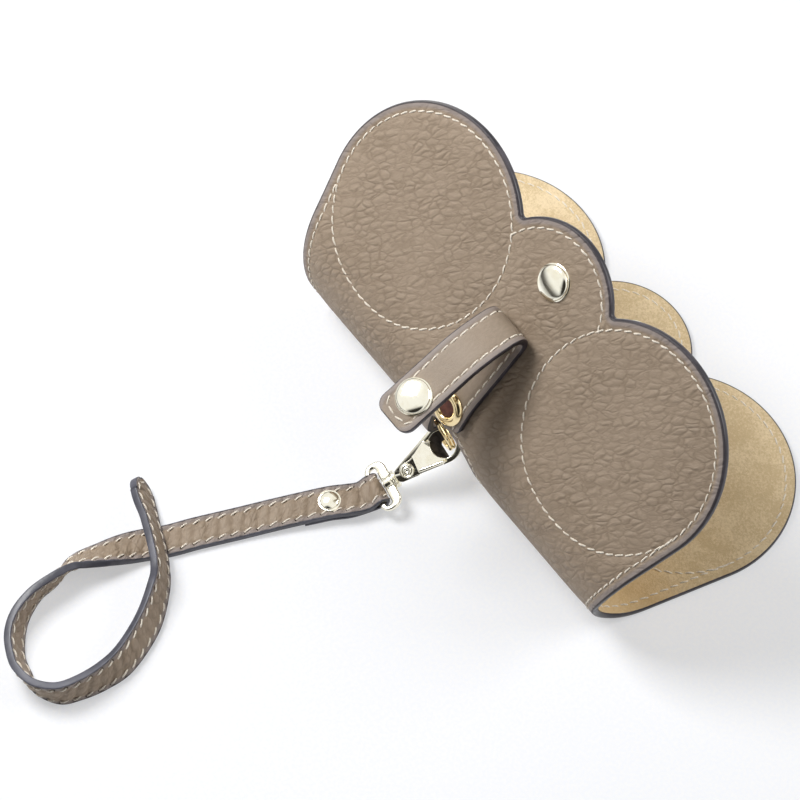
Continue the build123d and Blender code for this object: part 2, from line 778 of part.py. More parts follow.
with BuildPart() as swivel_eye:
    with BuildLine(eye_plane) as eye_path:
        FilletPolyline((eye_side, -eye_reach), (eye_side, eye_top), (-eye_side, eye_top),
                       (-eye_side, -eye_reach), radius=eye_corner, close=True)
    with BuildSketch(Plane(origin=eye_path.wire() @ 0, z_dir=eye_path.wire() % 0)):
        Circle(eye_wire)
    sweep(path=eye_path.wire())
    with Locations(Plane(origin=on_hook((boss_top + boss_end) / 2), z_dir=heading)):
        Cylinder(collar_radius, boss_length)
        Cylinder(swivel_radius + swivel_clearance, 2 * boss_length, mode=Mode.SUBTRACT)
swivel_eye.part.label = "swivel_eye"
export_step(swivel_eye.part, "parts/swivel_eye.step")
bar = on_hook(-eye_reach)

# The wrist strap: places of its middle line, from the bar along x and y and from the table
# along z, and directions across it
loop_radius = eye_wire + bar_clearance + strap_end_thickness / 2
top_lift = eye_wire + bar_clearance + strap_end_thickness - strap_thickness / 2
loop = []
for step in range(7):
    turn = -pi / 2 + step * pi / 6
    spot = bar + heading * (loop_radius * cos(turn)) + eye_up * (loop_radius * sin(turn))
    loop.append((spot, bar_along, strap_end_thickness))
strap_return = [
    ((-9.35, -20.67, 0.64), (0.91, -0.41, 0)),
    ((-7.55, -17.07, 1.04), (0.91, -0.41, 0)),
    ((-5.55, -13.07, 1.47), (0.92, -0.39, 0)),
    ((-2.35, -7.47, 2.05), (0.95, -0.31, 0)),
]
strap_run = [
    ((-2.55, -8.07, 4.00), (0.95, -0.31, 0)),
    ((-5.55, -13.07, 3.42), (0.92, -0.39, 0)),
    ((-9.65, -21.47, 2.50), (0.91, -0.42, 0)),
    ((-13.65, -30.07, 1.70), (0.91, -0.42, 0)),
    ((-17.35, -38.67, 1.25), (0.92, -0.39, 0)),
    ((-22.15, -50.17, 1.25), (0.93, -0.37, 0)),
    ((-25.35, -58.57, 1.25), (0.93, -0.37, 0)),
    ((-29.55, -67.67, 1.75), (0.92, -0.38, 0.05)),
    ((-32.35, -76.67, 3.60), (0.77, -0.42, 0.48)),
    ((-34.75, -85.37, 4.90), (0.61, -0.21, 0.76)),
    ((-33.85, -93.27, 5.50), (0.18, -0.08, 0.98)),
    ((-33.35, -100.37, 5.50), (0.09, -0.21, 0.97)),
    ((-30.65, -107.47, 5.40), (-0.02, -0.30, 0.95)),
    ((-26.55, -112.47, 5.30), (-0.08, -0.35, 0.93)),
    ((-21.55, -115.77, 5.30), (-0.13, -0.29, 0.95)),
    ((-16.15, -117.37, 5.30), (0.07, -0.35, 0.93)),
    ((-9.55, -117.37, 5.60), (0.08, -0.10, 0.99)),
    ((-3.55, -113.27, 5.50), (-0.14, -0.01, 0.99)),
    ((-1.15, -107.57, 5.50), (-0.21, 0.04, 0.98)),
    ((-0.05, -99.47, 5.20), (-0.36, 0.13, 0.92)),
    ((-0.85, -91.07, 5.00), (-0.55, 0.07, 0.83)),
    ((-5.95, -79.47, 5.00), (-0.50, -0.20, 0.82)),
    ((-12.85, -70.57, 6.00), (-0.26, -0.31, 0.91)),
    ((-17.55, -66.57, 7.70), (0.08, -0.44, 0.89)),
    ((-23.75, -63.47, 7.90), (0.17, -0.44, 0.88)),
    ((-31.25, -60.47, 6.60), (0.19, -0.42, 0.88)),
    ((-37.75, -58.07, 5.60), (0.11, -0.51, 0.85)),
    ((-42.25, -56.27, 5.20), (0.05, -0.52, 0.85)),
    ((-46.05, -54.87, 5.20), (0.07, -0.48, 0.87)),
]
strap_from = Vector(bar.X, bar.Y, 0)
stations = [(strap_from + Vector(*p), Vector(*w), strap_end_thickness) for p, w in strap_return]
stations += loop
stations.append((bar - heading * bar_lead + eye_up * top_lift, bar_along, strap_thickness))
stations += [(strap_from + Vector(*p), Vector(*w), strap_thickness) for p, w in strap_run]
rivet_at = len(strap_return) + len(loop) + 2


def blend_of(a, b, c, d, t):
    """A smooth curve's value between b and c, for t from 0 to 1, with a and d on either side."""
    return (b * 2 + (c - a) * t + (a * 2 - b * 5 + c * 4 - d) * t**2
            + (b * 3 - a - c * 3 + d) * t**3) * 0.5


path = []
for i in range(len(stations) - 1):
    around = [stations[min(max(j, 0), len(stations) - 1)] for j in (i - 1, i, i + 1, i + 2)]
    parts = max(1, round((stations[i + 1][0] - stations[i][0]).length / strap_step))
    for k in range(parts):
        share = k / parts
        path.append((blend_of(*(s[0] for s in around), share),
                     blend_of(*(s[1] for s in around), share),
                     stations[i][2] + (stations[i + 1][2] - stations[i][2]) * share))
path.append(stations[-1])

# The free end is round: extra sections close together, ever narrower
round_end = strap_width / 2
tip, tip_across = path[-1][0], path[-1][1]
while (path[-1][0] - tip).length < round_end:
    path.pop()
tip_along = (tip - path[-1][0]).normalized()
for angle in (0, 25, 45, 60, 72, 82):
    path.append((tip - tip_along * round_end * (1 - sin(radians(angle))), tip_across,
                 strap_thickness))

rivet_spot, rivet_across, _ = stations[rivet_at]
rivet_along = (stations[rivet_at + 1][0] - stations[rivet_at - 1][0]).normalized()
rivet_up = rivet_along.cross(rivet_across).normalized()
return_spot = stations[len(strap_return) - 2][0]
rivet_grip = (rivet_spot - return_spot).dot(rivet_up) + (strap_thickness + strap_end_thickness) / 2
rivet_top = rivet_spot + rivet_up * (strap_thickness / 2 + cap_lift)
rivet_base = rivet_top - rivet_up * (rivet_grip + 2 * cap_lift)

with BuildPart() as wrist_strap:
    for i, (spot, across, thick) in enumerate(path):
        before = path[max(i - 1, 0)][0]
        after = path[min(i + 1, len(path) - 1)][0]
        along = (after - before).normalized()
        across = (across - along * across.dot(along)).normalized()
        past = round_end - (tip - spot).length
        half = round_end if past < 0 else sqrt(round_end**2 - past**2)
        with BuildSketch(Plane(origin=spot, x_dir=across, z_dir=along)):
            Rectangle(2 * half, thick)
    loft(ruled=True)
    with Locations(Plane(origin=rivet_spot, z_dir=rivet_up)):
        Cylinder(strap_post_radius + pivot_clearance, 6 * strap_thickness, mode=Mode.SUBTRACT)
wrist_strap.part.label = "wrist_strap"
export_step(wrist_strap.part, "parts/wrist_strap.step")

with BuildPart() as strap_rivet:
    add(domed_cap(rivet_top, rivet_up, strap_rivet_radius, strap_rivet_height, strap_post_radius,
                  rivet_grip + 2 * cap_lift, rivet_across))
strap_rivet.part.label = "strap_rivet"
export_step(strap_rivet.part, "parts/strap_rivet.step")

with BuildPart() as strap_rivet_back:
    add(turned(rivet_base, rivet_up * -1,
               [(0, 0), (rivet_back_radius, 0), (rivet_back_radius, rivet_back / 2),
                (rivet_back_radius - rivet_back, rivet_back), (0, rivet_back)], rivet_across))
strap_rivet_back.part.label = "strap_rivet_back"
export_step(strap_rivet_back.part, "parts/strap_rivet_back.step")
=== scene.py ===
"""Looks of a folding leather glasses case with a snap tab, a ring, a swivel hook and a wrist strap."""

import math

import bmesh
import bpy
import numpy as np
from mathutils import Matrix, Vector
from mathutils.geometry import delaunay_2d_cdt


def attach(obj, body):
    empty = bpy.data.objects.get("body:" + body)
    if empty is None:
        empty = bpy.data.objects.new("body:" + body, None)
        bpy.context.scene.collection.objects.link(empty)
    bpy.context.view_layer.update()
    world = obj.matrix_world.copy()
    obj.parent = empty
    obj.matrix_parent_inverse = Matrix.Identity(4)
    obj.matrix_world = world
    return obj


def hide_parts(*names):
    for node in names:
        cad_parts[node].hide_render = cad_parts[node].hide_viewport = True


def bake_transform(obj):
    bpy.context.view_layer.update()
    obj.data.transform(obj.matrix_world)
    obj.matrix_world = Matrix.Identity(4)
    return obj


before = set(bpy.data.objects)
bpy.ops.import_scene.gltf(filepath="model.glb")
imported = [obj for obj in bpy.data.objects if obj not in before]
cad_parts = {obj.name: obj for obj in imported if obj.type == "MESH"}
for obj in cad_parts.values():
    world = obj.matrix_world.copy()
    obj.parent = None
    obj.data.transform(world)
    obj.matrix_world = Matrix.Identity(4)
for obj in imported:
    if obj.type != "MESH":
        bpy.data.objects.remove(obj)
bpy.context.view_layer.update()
scene = bpy.context.scene

# Camera, at the photograph's angle: a long lens that looks down from the front right, with
# the fold of the case running from the upper left of the picture to the lower right.
camera_turn = 0.921074079
camera_rise = 1.09893772
camera_distance = 0.95641
camera_target = Vector((-0.026698, -0.050977, 0.0))
camera_lens = 140.49

camera_back = Vector((math.sin(camera_turn) * math.cos(camera_rise),
                      -math.cos(camera_turn) * math.cos(camera_rise), math.sin(camera_rise)))
camera = bpy.data.objects.new("camera", bpy.data.cameras.new("camera"))
camera.data.lens = camera_lens
camera.location = camera_target + camera_back * camera_distance
camera.rotation_euler = camera_back.to_track_quat("Z", "Y").to_euler()
scene.collection.objects.link(camera)
scene.camera = camera
scene.view_settings.view_transform = "Standard"


# Table: a plain white board. Trees of nodes are wired with one small class, used from here on:
# arithmetic on it adds Math nodes, and node() adds any other node.
def feed(socket, value):
    """Links a wire to a socket, or sets the socket to a plain value."""
    if isinstance(value, Wire):
        value.tree.links.new(value.socket, socket)
    else:
        socket.default_value = value


class Wire:
    """One output socket in a tree of nodes."""

    def __init__(self, tree, socket=None):
        self.tree = tree
        self.socket = socket

    def node(self, kind, values=None, out=0, **settings):
        made = self.tree.nodes.new(kind)
        for name, value in settings.items():
            setattr(made, name, value)
        for name, value in (values or {}).items():
            feed(next(s for s in made.inputs if name in (s.identifier, s.name)), value)
        return Wire(self.tree, made.outputs[out])

    def maths(self, operation, first, second=0.0):
        return self.node("ShaderNodeMath", {"Value": first, "Value_001": second},
                         operation=operation)

    def __add__(self, other):
        return self.maths("ADD", self, other)

    def __sub__(self, other):
        return self.maths("SUBTRACT", self, other)

    def __rsub__(self, other):
        return self.maths("SUBTRACT", other, self)

    def __mul__(self, other):
        return self.maths("MULTIPLY", self, other)

    def __truediv__(self, other):
        return self.maths("DIVIDE", self, other)

    def ramp(self, low, high, to_low=0.0, to_high=1.0):
        """This value from low to high, eased onto to_low to to_high."""
        return self.node("ShaderNodeMapRange", {
            "Value": self, "From Min": low, "From Max": high, "To Min": to_low,
            "To Max": to_high}, interpolation_type="SMOOTHSTEP")

    def tint(self, first, second):
        """Two colours mixed by this value."""
        first, second = (c if isinstance(c, Wire) else (*c, 1) for c in (first, second))
        return self.node("ShaderNodeMix", {"Factor_Float": self, "A_Color": first,
                                           "B_Color": second}, out=2, data_type="RGBA")

    def place(self):
        """Where a point is on its object, in metres."""
        return self.node("ShaderNodeTexCoord", out=3)

    def pattern(self):
        """Where a point is on the flat pattern of its leather, in decimetres."""
        return self.node("ShaderNodeUVMap", uv_map="flat_pattern")

    def rim_gap(self):
        """How far a point is from the cut edge of its leather, in millimetres."""
        return self.node("ShaderNodeAttribute", out=2, attribute_name="rim_gap")

    def noise(self, scale, detail=2.0, roughness=0.5, distortion=0.0, at=None):
        return self.node("ShaderNodeTexNoise", {
            "Vector": at or self.place(), "Scale": scale, "Detail": detail,
            "Roughness": roughness, "Distortion": distortion})

    def cells(self, at, scale, jitter=1.0, feature="DISTANCE_TO_EDGE", **values):
        return self.node("ShaderNodeTexVoronoi", {
            "Vector": at, "Scale": scale, "Randomness": jitter, **values}, feature=feature)

    def bump(self, height, distance):
        return self.node("ShaderNodeBump", {"Height": height, "Distance": distance,
                                            "Strength": 1.0})


def new_material(name):
    """A material with its one shader, and a wire to start from."""
    material = bpy.data.materials.new(name)
    material.use_nodes = True
    return material, material.node_tree.nodes["Principled BSDF"], Wire(material.node_tree)


def join_up(shader, **links):
    """Feeds a shader's sockets: wires are linked and numbers are set."""
    for name, value in links.items():
        feed(shader.inputs[name.replace("_", " ")], value)


def mottled(name, mottle, span, first, second, **links):
    """A material of two mottled colours, with its shader and its mottle of (scale, detail)."""
    material, shader, wire = new_material(name)
    speck = wire.noise(*mottle)
    join_up(shader, Base_Color=speck.ramp(*span).tint(first, second), **links)
    return material, shader, speck


def show_directly(tree, plain, shown, share=1.0):
    """Mixes a second shader in for rays from the camera, off polish or through clear pieces."""
    wire = Wire(tree)
    path = tree.nodes.new("ShaderNodeLightPath")
    direct, glossy, clear = (Wire(tree, path.outputs[name]) for name in (
        "Is Camera Ray", "Is Glossy Ray", "Is Transmission Ray"))
    for ray in (glossy, clear):
        direct = wire.maths("MAXIMUM", direct, ray)
    mixed = wire.node("ShaderNodeMixShader", {
        "Fac": direct * share, "Shader": Wire(tree, plain.outputs[0]), "Shader_001": shown})
    output = next(n for n in tree.nodes if n.name.endswith("Output"))
    feed(output.inputs["Surface"], mixed)


def mesh_piece(name, points, faces):
    """A new smooth object at the origin from points and faces."""
    mesh = bpy.data.meshes.new(name)
    mesh.from_pydata([tuple(p) for p in points], [], faces)
    mesh.validate()
    mesh.polygons.foreach_set("use_smooth", [True] * len(mesh.polygons))
    piece = bpy.data.objects.new(name, mesh)
    scene.collection.objects.link(piece)
    return piece


def face_outwards(piece):
    """Turns all faces of a closed piece outwards."""
    shell = bmesh.new()
    shell.from_mesh(piece.data)
    bmesh.ops.recalc_face_normals(shell, faces=shell.faces)
    shell.to_mesh(piece.data)
    shell.free()


table_half = 3.0
table_white = (0.89, 0.91, 0.965)
table_grey = (0.95, 0.95, 0.96)
table_sheen = (0.985, 0.99, 1, 1)
table_glow = 0.46
table = mesh_piece("table", [(x * table_half, y * table_half, 0)
                             for x, y in ((-1, -1), (1, -1), (1, 1), (-1, 1))], [(0, 1, 2, 3)])
table_paint, table_shader, speck = mottled(
    "table_paint", (900.0, 3.0), (0.3, 0.7), table_white, table_grey, Roughness=0.9,
    Specular_IOR_Level=0.1)
glow = speck.node("ShaderNodeEmission", {"Color": table_sheen, "Strength": 1.0})
show_directly(table_paint.node_tree, table_shader, glow, table_glow)
table.data.materials.append(table_paint)

# Studio light: a white room, one broad lamp from the upper left of the picture, so that the
# tab throws its shadow to the right, and a weaker one from the other side. Polished metal
# mirrors a dark horizon and one dark patch.
room_strength = 0.13
dark_side = Vector((0.404, -0.727, 0.556))
dark_patch = (math.cos(math.radians(31)), math.cos(math.radians(20)))
patch_colour = (0.03, 0.028, 0.026)
horizon_span = (0.05, 0.30)
horizon_colour = (0.10, 0.095, 0.09)
white = (1, 1, 1)
room = bpy.data.worlds.new("room")
room.use_nodes = True
scene.world = room
wire = Wire(room.node_tree)
room_light = room.node_tree.nodes["Background"]
join_up(room_light, Color=(*white, 1), Strength=room_strength)
bearing = wire.node("ShaderNodeTexCoord", out=0)
facing = wire.node("ShaderNodeVectorMath", {"Vector": bearing, "Vector_001": dark_side}, out=1,
                   operation="DOT_PRODUCT")
height = wire.node("ShaderNodeSeparateXYZ", {"Vector": bearing}, out=2)
mirrored = height.ramp(*horizon_span).tint(horizon_colour, white)
mirrored = facing.ramp(*dark_patch).tint(mirrored, patch_colour)
from_camera = wire.node("ShaderNodeLightPath")
shown = wire.node("ShaderNodeBackground", {"Color": from_camera.tint(mirrored, white),
                                           "Strength": 1.0})
show_directly(room.node_tree, room_light, shown)

camera_right = Vector((math.cos(camera_turn), math.sin(camera_turn), 0))
camera_over = camera_back.cross(camera_right)


def lamp(name, right, over, back, size, power):
    """A square soft lamp, placed from the target along the picture's right, up and back."""
    light = bpy.data.lights.new(name, "AREA")
    light.size = size
    light.energy = power
    holder = bpy.data.objects.new(name, light)
    away = camera_right * right + camera_over * over + camera_back * back
    holder.location = camera_target + away
    holder.rotation_euler = away.to_track_quat("Z", "Y").to_euler()
    scene.collection.objects.link(holder)


lamp("key_lamp", -0.30, 0.36, 0.40, 0.26, 4.0)
lamp("fill_lamp", 0.70, 0.27, 0.36, 0.5, 3.5)

# The case: one sheet of pebbled taupe leather, lined with sand-coloured suede and folded over.
# Two round lobes and a bump at each end, and a round hole on the fold. Its edges are painted.
leather = 0.0012
lining = 0.001
outside = (leather + lining) / 2
ply_joint = outside - leather
lobe_radius = 0.0349
lobe_side = 0.0457
lobe_reach = 0.0562
bump_radius = 0.0241
bump_reach = 0.0675
notch_fillet = 0.0016
waist_half_width = 0.069
waist_radius = 0.040
hole_radius = 0.0139
fold_start = 0.0217
fold_bends = ((0.018, math.radians(65)), (0.027, math.radians(72)), (-0.430, math.radians(20)))
fold_y = fold_start - lobe_reach
stitch_margin = 0.0029
hole_margin = 0.0023


def on_sheet(reach, offset=0.0):
    """The point (y, z) at a distance from the middle of the fold, and the outward direction."""
    if reach <= -fold_start:
        return (fold_y - fold_start - reach, outside - offset), (0.0, -1.0)
    radius = fold_bends[0][0]
    y, z = fold_y, outside + radius
    angle = 0.0
    left = reach + fold_start
    for bend_radius, bend_angle in fold_bends:
        y -= (radius - bend_radius) * math.sin(angle)
        z -= (radius - bend_radius) * math.cos(angle)
        radius = bend_radius
        step = min(left, abs(bend_radius) * bend_angle)
        angle += step / bend_radius
        left -= step
        if left <= 0:
            break
    out = (-math.sin(angle), -math.cos(angle))
    return (y + (radius + offset) * out[0], z + (radius + offset) * out[1]), out


reach_table = np.linspace(-0.1, 0.1, 4001)
sheet_table = np.array([(*on_sheet(r)[0], *on_sheet(r)[1]) for r in reach_table])


def laid_out(flat, offset):
    """Points of the flat pattern (x, reach), with their offsets, on the folded sheet."""
    flat = np.asarray(flat, dtype=float)
    y, z, out_y, out_z = (np.interp(flat[:, 1], reach_table, sheet_table[:, k]) for k in range(4))
    offset = np.broadcast_to(offset, len(flat))
    return np.stack([flat[:, 0], y + offset * out_y, z + offset * out_z], axis=1)


def waist_line():
    """Where the straight side leaves the waist arc, and where it meets the lobe arc."""
    centre = waist_half_width + waist_radius
    across = centre - lobe_side
    span = math.hypot(across, lobe_reach)
    tilt = math.atan2(-lobe_reach, across) + math.acos((lobe_radius + waist_radius) / span)
    return ((centre - waist_radius * math.cos(tilt), -waist_radius * math.sin(tilt)),
            (lobe_side + lobe_radius * math.cos(tilt), lobe_reach + lobe_radius * math.sin(tilt)),
            tilt)


waist_point, lobe_point, side_tilt = waist_line()
outline_step = 0.0008


def arc(centre, radius, start, end, step=outline_step):
    """Points along an arc in the flat pattern, from one angle to another, without the last."""
    count = max(2, round(abs(end - start) * radius / step))
    return [(centre[0] + radius * math.cos(start + (end - start) * i / count),
             centre[1] + radius * math.sin(start + (end - start) * i / count))
            for i in range(count)]


def quarter():
    """The outline from the waist's narrowest point round a lobe to the top of the bump."""
    waist_centre = (waist_half_width + waist_radius, 0)
    points = arc(waist_centre, waist_radius, math.pi, math.pi + side_tilt)
    steps = round(math.dist(waist_point, lobe_point) / outline_step)
    points += [tuple(a + (b - a) * i / steps for a, b in zip(waist_point, lobe_point))
               for i in range(steps)]
    lobe = (lobe_side, lobe_reach)
    bump = (0, bump_reach)
    apart = math.dist(lobe, bump)
    to_lobe = lobe_radius + notch_fillet
    to_bump = bump_radius + notch_fillet
    along = (apart**2 + to_bump**2 - to_lobe**2) / (2 * apart)
    aside = math.sqrt(to_bump**2 - along**2)
    unit = ((lobe[0] - bump[0]) / apart, (lobe[1] - bump[1]) / apart)
    notch = (bump[0] + along * unit[0] - aside * unit[1],
             bump[1] + along * unit[1] + aside * unit[0])
    from_lobe = math.atan2(notch[1] - lobe[1], notch[0] - lobe[0])
    from_bump = math.atan2(notch[1] - bump[1], notch[0] - bump[0])
    points += arc(lobe, lobe_radius, side_tilt, from_lobe)
    points += arc(notch, notch_fillet, from_lobe - math.pi, from_bump - math.pi, 0.0004)
    points += arc(bump, bump_radius, from_bump, math.pi / 2)
    return points


quarter_line = quarter()
outline = list(quarter_line) + [(0.0, bump_reach + bump_radius)]
outline += [(-x, s) for x, s in reversed(quarter_line)]
outline += [(-x, -s) for x, s in quarter_line[1:]]
outline += [(0.0, -bump_reach - bump_radius)]
outline += [(x, -s) for x, s in reversed(quarter_line[1:])]
hole_line = arc((0, 0), hole_radius, 0, 2 * math.pi)
rims = [(outline, True), (hole_line, True)]


def half_width(reach):
    """How far the side of the sheet is from its middle."""
    reach = abs(reach)
    if reach <= waist_point[1]:
        return waist_half_width + waist_radius - math.sqrt(waist_radius**2 - reach**2)
    slope = (lobe_point[0] - waist_point[0]) / (lobe_point[1] - waist_point[1])
    return waist_point[0] + slope * (reach - waist_point[1])


stitch_radius = lobe_radius - stitch_margin
crest_radius = bump_radius - stitch_margin
crest_clear = stitch_radius + 0.0004
sewn_lines = [(arc((sx * lobe_side, sy * lobe_reach), stitch_radius, 0, 2 * math.pi), True)
              for sx in (1, -1) for sy in (1, -1)]
crest = [(crest_radius * math.cos(a), bump_reach + crest_radius * math.sin(a))
         for a in np.linspace(-0.4, math.pi + 0.4, 400)]
crest = [p for p in crest
         if math.dist(p, (math.copysign(lobe_side, p[0]), lobe_reach)) > crest_clear]
side_line = [(half_width(s) - stitch_margin
              / math.cos(side_tilt * min(1, abs(s) / waist_point[1])), s)
             for s in np.linspace(-lobe_point[1], lobe_point[1], 121)]
sewn_lines += [([(x, end * s) for x, s in crest], False) for end in (1, -1)]
sewn_lines += [([(side * x, s) for x, s in side_line], False) for side in (1, -1)]
sewn_lines.append((arc((0, 0), hole_radius + hole_margin, 0, 2 * math.pi), True))


def gap_to(flat, lines):
    """The distance of each flat point from the nearest of several lines of points."""
    best = np.full(len(flat), 9.0)
    for line, closed in lines:
        line = np.asarray(line)
        pairs = list(zip(line, np.roll(line, -1, axis=0)))
        for p, q in pairs if closed else pairs[:-1]:
            d = q - p
            t = np.clip(((flat - p) @ d) / (d @ d), 0, 1)
            best = np.minimum(best, np.hypot(*(flat - p - t[:, None] * d).T))
    return best


def on_leather(flat):
    """Which flat points lie inside the outline and outside the hole."""
    hits = np.zeros(len(flat), dtype=bool)
    for line, closed in rims:
        for (x1, y1), (x2, y2) in zip(line, line[1:] + line[:1]):
            if y1 != y2:
                crosses = (flat[:, 1] < y1) != (flat[:, 1] < y2)
                hits ^= crosses & (flat[:, 0] < x1 + (flat[:, 1] - y1) * (x2 - x1) / (y2 - y1))
    return hits


def beside(line, closed=True):
    """The direction to the left of a line of flat points, at each of them."""
    line = np.asarray(line)
    ahead = np.roll(line, -1, axis=0) - np.roll(line, 1, axis=0)
    if not closed:
        ahead[0], ahead[-1] = line[1] - line[0], line[-1] - line[-2]
    ahead /= np.hypot(*ahead.T)[:, None]
    return np.stack([-ahead[:, 1], ahead[:, 0]], axis=1)


# The sheet is cut into faces: a lattice over its middle, and closer rows of points beside the
# stitching and the rims.
lattice = 0.0014
lattice_across = np.arange(-0.0819, 0.082, lattice)
lattice_along = np.arange(-0.0924, 0.093, lattice)
rim_clear = 0.0008
sewn_clear = 0.0017
grid = np.array([(x, s) for s in lattice_along for x in lattice_across])
grid = grid[on_leather(grid)]
rim_gap = gap_to(grid, [(outline[::4], True), (hole_line[::2], True)])
sewn_gap = gap_to(grid, [(line[::3], closed) for line, closed in sewn_lines])
grid = grid[(rim_gap > rim_clear) & (sewn_gap > sewn_clear)]
sewn_shifts = (-0.0013, -0.0007, 0.0, 0.0007, 0.0013)
rim_shifts = (-0.00045, -0.00022, -0.00008, 0.00008, 0.00022, 0.00045)
bands = []
for lines, shifts in ((sewn_lines, sewn_shifts), (rims, rim_shifts)):
    for line, closed in lines:
        aside = beside(line, closed)
        bands += [np.asarray(line) + aside * shift for shift in shifts]
bands = np.concatenate(bands)
bands = bands[on_leather(bands)]
bands = bands[gap_to(bands, rims) > 0.00006]
cell = 0.00013
cells = {}
for point in bands:
    cells.setdefault((round(point[0] / cell), round(point[1] / cell)), point)
bands = np.array(list(cells.values()))
flat = np.concatenate([outline, hole_line, bands, grid])
edges = []
for first, loop in ((0, outline), (len(outline), hole_line)):
    edges += [(first + i, first + (i + 1) % len(loop)) for i in range(len(loop))]
flat_points, flat_edges, flat_faces = delaunay_2d_cdt(
    [Vector(p) for p in flat], edges, [], 0, 1e-7)[:3]
flat = np.array([tuple(p) for p in flat_points])
keep = on_leather(np.array([flat[list(f)].mean(axis=0) for f in flat_faces]))
flat_faces = [tuple(f) for f, k in zip(flat_faces, keep) if k]
sewn_gap = gap_to(flat, sewn_lines)
rim_gap = gap_to(flat, rims)

groove_depth = 0.00028
groove_width = 0.0007
pad_rise = 0.00022
pad_width = 0.004
rim_round = 0.00045
rim_soft = 0.99
relief = -groove_depth * np.exp(-(sewn_gap / groove_width)**2)
relief += pad_rise * (1 - np.exp(-(sewn_gap / pad_width)**2)) * np.clip(rim_gap / stitch_margin, 0, 1)
near_rim = np.clip(rim_round - rim_gap, 0, rim_round)
relief -= rim_round - np.sqrt(rim_round**2 - near_rim**2 * rim_soft)


def mark(piece, flat, gaps):
    """Writes each point's place on the flat pattern, and its distance from the cut edge."""
    owner = np.empty(len(piece.data.loops), dtype=np.int32)
    piece.data.loops.foreach_get("vertex_index", owner)
    layout = piece.data.uv_layers.new(name="flat_pattern")
    layout.data.foreach_set("uv", (flat[owner] * 10).ravel())
    gap = piece.data.attributes.new("rim_gap", "FLOAT", "POINT")
    gap.data.foreach_set("value", gaps * 1000)


def ply(name, low, high):
    """One closed layer of the folded sheet between two offsets from its middle surface."""
    count = len(flat)
    points = np.concatenate([laid_out(flat, high), laid_out(flat, low)])
    faces = list(flat_faces) + [tuple(i + count for i in reversed(f)) for f in flat_faces]
    rim = {}
    for f in flat_faces:
        for a, b in zip(f, f[1:] + f[:1]):
            if (b, a) in rim:
                del rim[(b, a)]
            else:
                rim[(a, b)] = True
    faces += [(b, a, a + count, b + count) for a, b in rim]
    piece = mesh_piece(name, points, faces)
    mark(piece, np.tile(flat, (2, 1)), np.tile(rim_gap, 2))
    face_outwards(piece)
    return piece


case_leather = ply("case_leather", ply_joint, outside + relief)
ply_gap = 0.00002
case_suede = ply("case_suede", -outside - 0.5 * relief, ply_joint - ply_gap)

taupe = (0.345, 0.268, 0.196)
taupe_dark = (0.225, 0.168, 0.115)
rim_mauve = (0.26, 0.225, 0.215)
painted_rim_shadow = (0.03, 0.025, 0.03)
pebble_scale = 46.0
pebble_jitter = 0.88
pebble_height = 0.00038
leather_skin, leather_shader, wire = new_material("pebbled_taupe")
pattern = wire.pattern()
grain_line = wire.node("ShaderNodeMapping", {
    "Vector": pattern, "Rotation": (0, 0, 0.92), "Scale": (1.8, 1.0, 1.0)}, vector_type="TEXTURE")
wander = wire.node("ShaderNodeTexNoise", {"Vector": grain_line, "Scale": 22.0, "Detail": 2.0}, out=1)
wander = wire.node("ShaderNodeVectorMath", {"Vector": wander, "Scale": 0.028}, operation="SCALE")
bent = wire.node("ShaderNodeVectorMath", {"Vector": grain_line, "Vector_001": wander},
                 operation="ADD")
large_gap = wire.cells(bent, pebble_scale, pebble_jitter)
pillow = wire.cells(bent, pebble_scale, pebble_jitter, "SMOOTH_F1", Smoothness=0.4)
small_gap = wire.cells(bent, 88.0, 0.9)
fine = wire.noise(420.0, 4.0, at=pattern)
broad = wire.noise(5.0, 3.0, at=pattern)
depth = wire.noise(16.0, at=bent).ramp(0.38, 0.62, 0.5, 1.0)
skin_height = (pillow.ramp(0.0, 0.6, 1.0, 0.0) * 0.55 + large_gap.ramp(-0.05, 0.26) * 0.28) * depth
skin_height = skin_height + small_gap.ramp(-0.05, 0.35) * 0.13 + fine * 0.07
# The creases between the pebbles are darkened in the colour as painted shade; the broad change of tone
# is the leather's own.
shade = (large_gap.ramp(0.0, 0.22, 1.0, 0.0) * depth * 0.5
         + small_gap.ramp(0.0, 0.24, 1.0, 0.0) * 0.14 + broad.ramp(0.35, 0.65, 0.0, 0.15) + 0.12)
gap = wire.rim_gap()
colour = gap.ramp(1.0, 2.4, 0.75, 0.0).tint(shade.tint(taupe, taupe_dark), rim_mauve)
# A thin near-black line along the cut edge, where the face meets the edge paint, is painted shadow
# under the bead.
colour = gap.ramp(0.3, 0.62, 0.92, 0.0).tint(colour, painted_rim_shadow)
join_up(leather_shader, Base_Color=colour, Roughness=fine.ramp(0.3, 0.7, 0.52, 0.64),
        Specular_IOR_Level=0.35, Normal=wire.bump(skin_height, pebble_height))
case_leather.data.materials.append(leather_skin)

suede_pale = (0.80, 0.655, 0.435)
suede_deep = (0.63, 0.49, 0.29)
suede_warm = (0.64, 0.44, 0.21)
nap_height = 0.0002
suede_nap, suede_shader, wire = new_material("sand_suede")
nap = wire.noise(1500.0, 4.0, 0.75)
brushed = wire.noise(70.0, 5.0, 0.6, 1.2)
reach = wire.node("ShaderNodeSeparateXYZ", {"Vector": wire.pattern()}, out=1)
near_fold = (reach * reach).ramp(0.04, 0.16, 0.55, 0.0)
colour = (nap * 0.6 + brushed * 0.4).ramp(0.42, 0.6).tint(suede_deep, suede_pale)
join_up(suede_shader, Base_Color=near_fold.tint(colour, suede_warm), Roughness=0.95,
        Specular_IOR_Level=0.15, Sheen_Weight=0.25, Sheen_Roughness=0.5,
        Normal=wire.bump(nap * 0.8 + brushed * 0.3, nap_height))
case_suede.data.materials.append(suede_nap)

edge_bulge = 0.0003
edge_wrap = 0.0001
edge_middle = -0.00012
edge_half = 0.00102
edge_steps = 10


